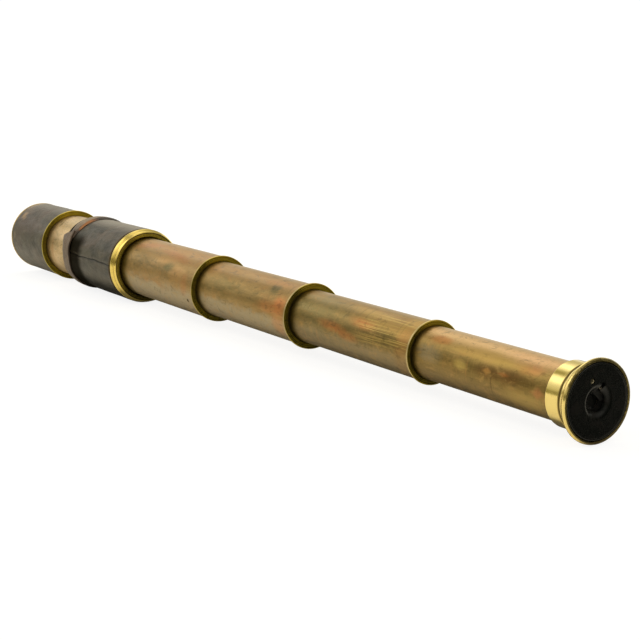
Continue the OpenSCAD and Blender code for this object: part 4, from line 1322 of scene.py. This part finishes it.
def floor_material():
    """Warm paper: in reflections it has painted shade towards the unlit side and under the telescope
    and a painted glow elsewhere; the camera itself sees it glowing near-white.
    """
    tree = new_material("floor_paper")
    incoming = tree.node("ShaderNodeNewGeometry", output="Incoming")
    ray = camera_rig(tree, incoming, -1.0)               # the ray's direction is minus Incoming
    # painted shade in reflections: dark towards the unlit side and under the telescope
    dark = dot(ray, DARK_SIDE).step(0.55, 0.85)
    dark = dark.max(ray[1].step(0.16, -0.14) * ray[0].step(0.45, 0.7) * 0.85)
    paper = tree.node("ShaderNodeTexNoise", {"Scale": 60.0})
    paper_colour = tree.mix(paper, (0.80, 0.77, 0.69), (0.83, 0.80, 0.72))

    def diffuse(colour):
        return tree.node("ShaderNodeBsdfDiffuse", (colour,))

    def plus_glow(shader, colour, strength):
        glow = tree.node("ShaderNodeEmission", (colour, strength))
        return tree.node("ShaderNodeAddShader", (shader, glow))
    lit = plus_glow(diffuse(paper_colour), (1.0, 0.955, 0.83), 0.22)
    unlit = diffuse((0.05, 0.05, 0.045))
    around = tree.node("ShaderNodeMixShader", (dark, lit, unlit))
    glow = tree.node("ShaderNodeEmission", ((1, 1, 1), 0.86))
    seen = tree.node("ShaderNodeAddShader", (glow, diffuse((0.22, 0.22, 0.22))))
    is_camera = tree.node("ShaderNodeLightPath", output="Is Camera Ray")
    surface = tree.node("ShaderNodeMixShader", (is_camera, around, seen))
    tree.node("ShaderNodeOutputMaterial", {"Surface": surface})
    return tree.owner


def add_floor():
    """The floor tilts so that the telescope lies on its keeper band and its eyepiece lip."""
    clearance, half_size = 0.02, 6.0                     # mm, metres
    strip = bpy.data.objects["keeper_band_strip"].data
    band_z, band_x = min((v.co.z * 1000, v.co.x * 1000) for v in strip.vertices)
    band_z -= clearance
    lip_x, lip_z = BELL_REAR + 1.3, -LIP_RADIUS - clearance
    slope = (band_z - lip_z) / (band_x - lip_x)
    height = (band_z - slope * band_x) * MM              # at x = 0
    mesh = bpy.data.meshes.new("floor")
    mesh.from_pydata([(sx * half_size, sy * half_size, height + slope * sx * half_size)
                      for sx, sy in ((-1, -1), (1, -1), (1, 1), (-1, 1))], [], [(0, 1, 2, 3)])
    floor = bpy.data.objects.new("floor", mesh)
    scene.collection.objects.link(floor)
    mesh.materials.append(floor_material())


add_floor()

# ------------------------------------------------------------------ light


def warm_grey(level):
    """Colour of a wall or light panel, warmer the darker it is."""
    warmth = max(0.0, min(1.0, (0.9 - level) / 0.6))
    return (level, level * (0.97 - 0.055 * warmth), level * (0.89 - 0.42 * warmth))


# height (0 straight down, 1 straight up) and level of the walls
WALLS = ((0.0, 0.25), (0.5, 0.40), (0.60, 0.50), (0.74, 1.0), (0.90, 1.5), (1.0, 1.55))
# degrees round the X axis and level: what the walls are multiplied by
BARS = ((-180, 0.6), (-20, 0.95), (-6, 0.75), (3, 0.28), (10, 0.28), (20, 0.85), (40, 1.0),
        (62, 1.0), (70, 0.40), (79, 0.32), (89, 0.9), (110, 1.0), (130, 0.85), (150, 0.5),
        (180, 0.4))
# the same, for the levels seen towards +X
FAN = ((-180, 0.85), (-160, 0.40), (-110, 0.26), (-95, 0.34), (-76, 0.62), (-50, 0.74),
       (-20, 0.62), (-4, 0.50), (3, 0.30), (9, 0.28), (17, 0.62), (34, 0.90), (45, 1.60),
       (56, 1.65), (65, 1.15), (71, 0.50), (79, 0.34), (86, 0.55), (95, 1.10), (103, 1.60),
       (115, 1.55), (124, 1.0), (134, 0.72), (148, 0.58), (164, 0.85), (180, 0.85))
SIDE_LIGHT = Vector((0.26, -0.93, 0.24)).normalized()  # a small soft light on the -Y side


def add_world():
    world = bpy.data.worlds.new("studio")
    scene.world = world
    tree = Tree(world)
    direction = camera_rig(tree, tree.node("ShaderNodeTexCoord", output="Generated"))
    dx, dy, dz = direction
    around = tree.math("ARCTAN2", dz, dy) * DEGREES
    tree.colour = tree.ramp(dz.madd(0.5, 0.5), [(h, warm_grey(v)) for h, v in WALLS])
    side = dy.step(-0.7, 0.5, first=0.45, last=1.15)
    bars = tree.ramp(around.madd(1.0 / 360.0, 0.5),
                     [((a + 180) / 360.0, (v, v * 0.97, v * 0.9)) for a, v in BARS])
    tree.paint(bars, 1.0, "MULTIPLY")
    tree.paint(side, 1.0, "MULTIPLY")
    fan = tree.ramp(around.madd(1.0 / 360.0, 0.5),
                    [((a + 180) / 360.0, warm_grey(v)) for a, v in FAN])
    tree.paint(fan, dx.step(0.15, 0.55))
    tree.paint((0.048, 0.045, 0.034), dot(direction, DARK_SIDE).step(0.60, 0.84))
    tree.paint((1.9, 1.85, 1.65), dot(direction, SIDE_LIGHT).step(0.90, 0.97))
    studio = tree.node("ShaderNodeBackground", (tree.colour, 1.0))
    seen = tree.node("ShaderNodeBackground", ((1, 1, 1), 1.05))
    is_camera = tree.node("ShaderNodeLightPath", output="Is Camera Ray")
    surface = tree.node("ShaderNodeMixShader", (is_camera, studio, seen))
    tree.node("ShaderNodeOutputWorld", {"Surface": surface})


add_world()

# ------------------------------------------------------------------ camera, in metres

lens = bpy.data.cameras.new("camera")
camera = bpy.data.objects.new("camera", lens)
scene.collection.objects.link(camera)
lens.sensor_width = 36.0
lens.lens = 74.16
lens.clip_start, lens.clip_end = 0.05, 50.0
turn = Matrix((CAMERA_RIGHT, CAMERA_UP, CAMERA_BACK)).transposed()
camera.matrix_world = Matrix.Translation((-0.947440, 0.391769, 0.139591)) @ turn.to_4x4()
scene.camera = camera
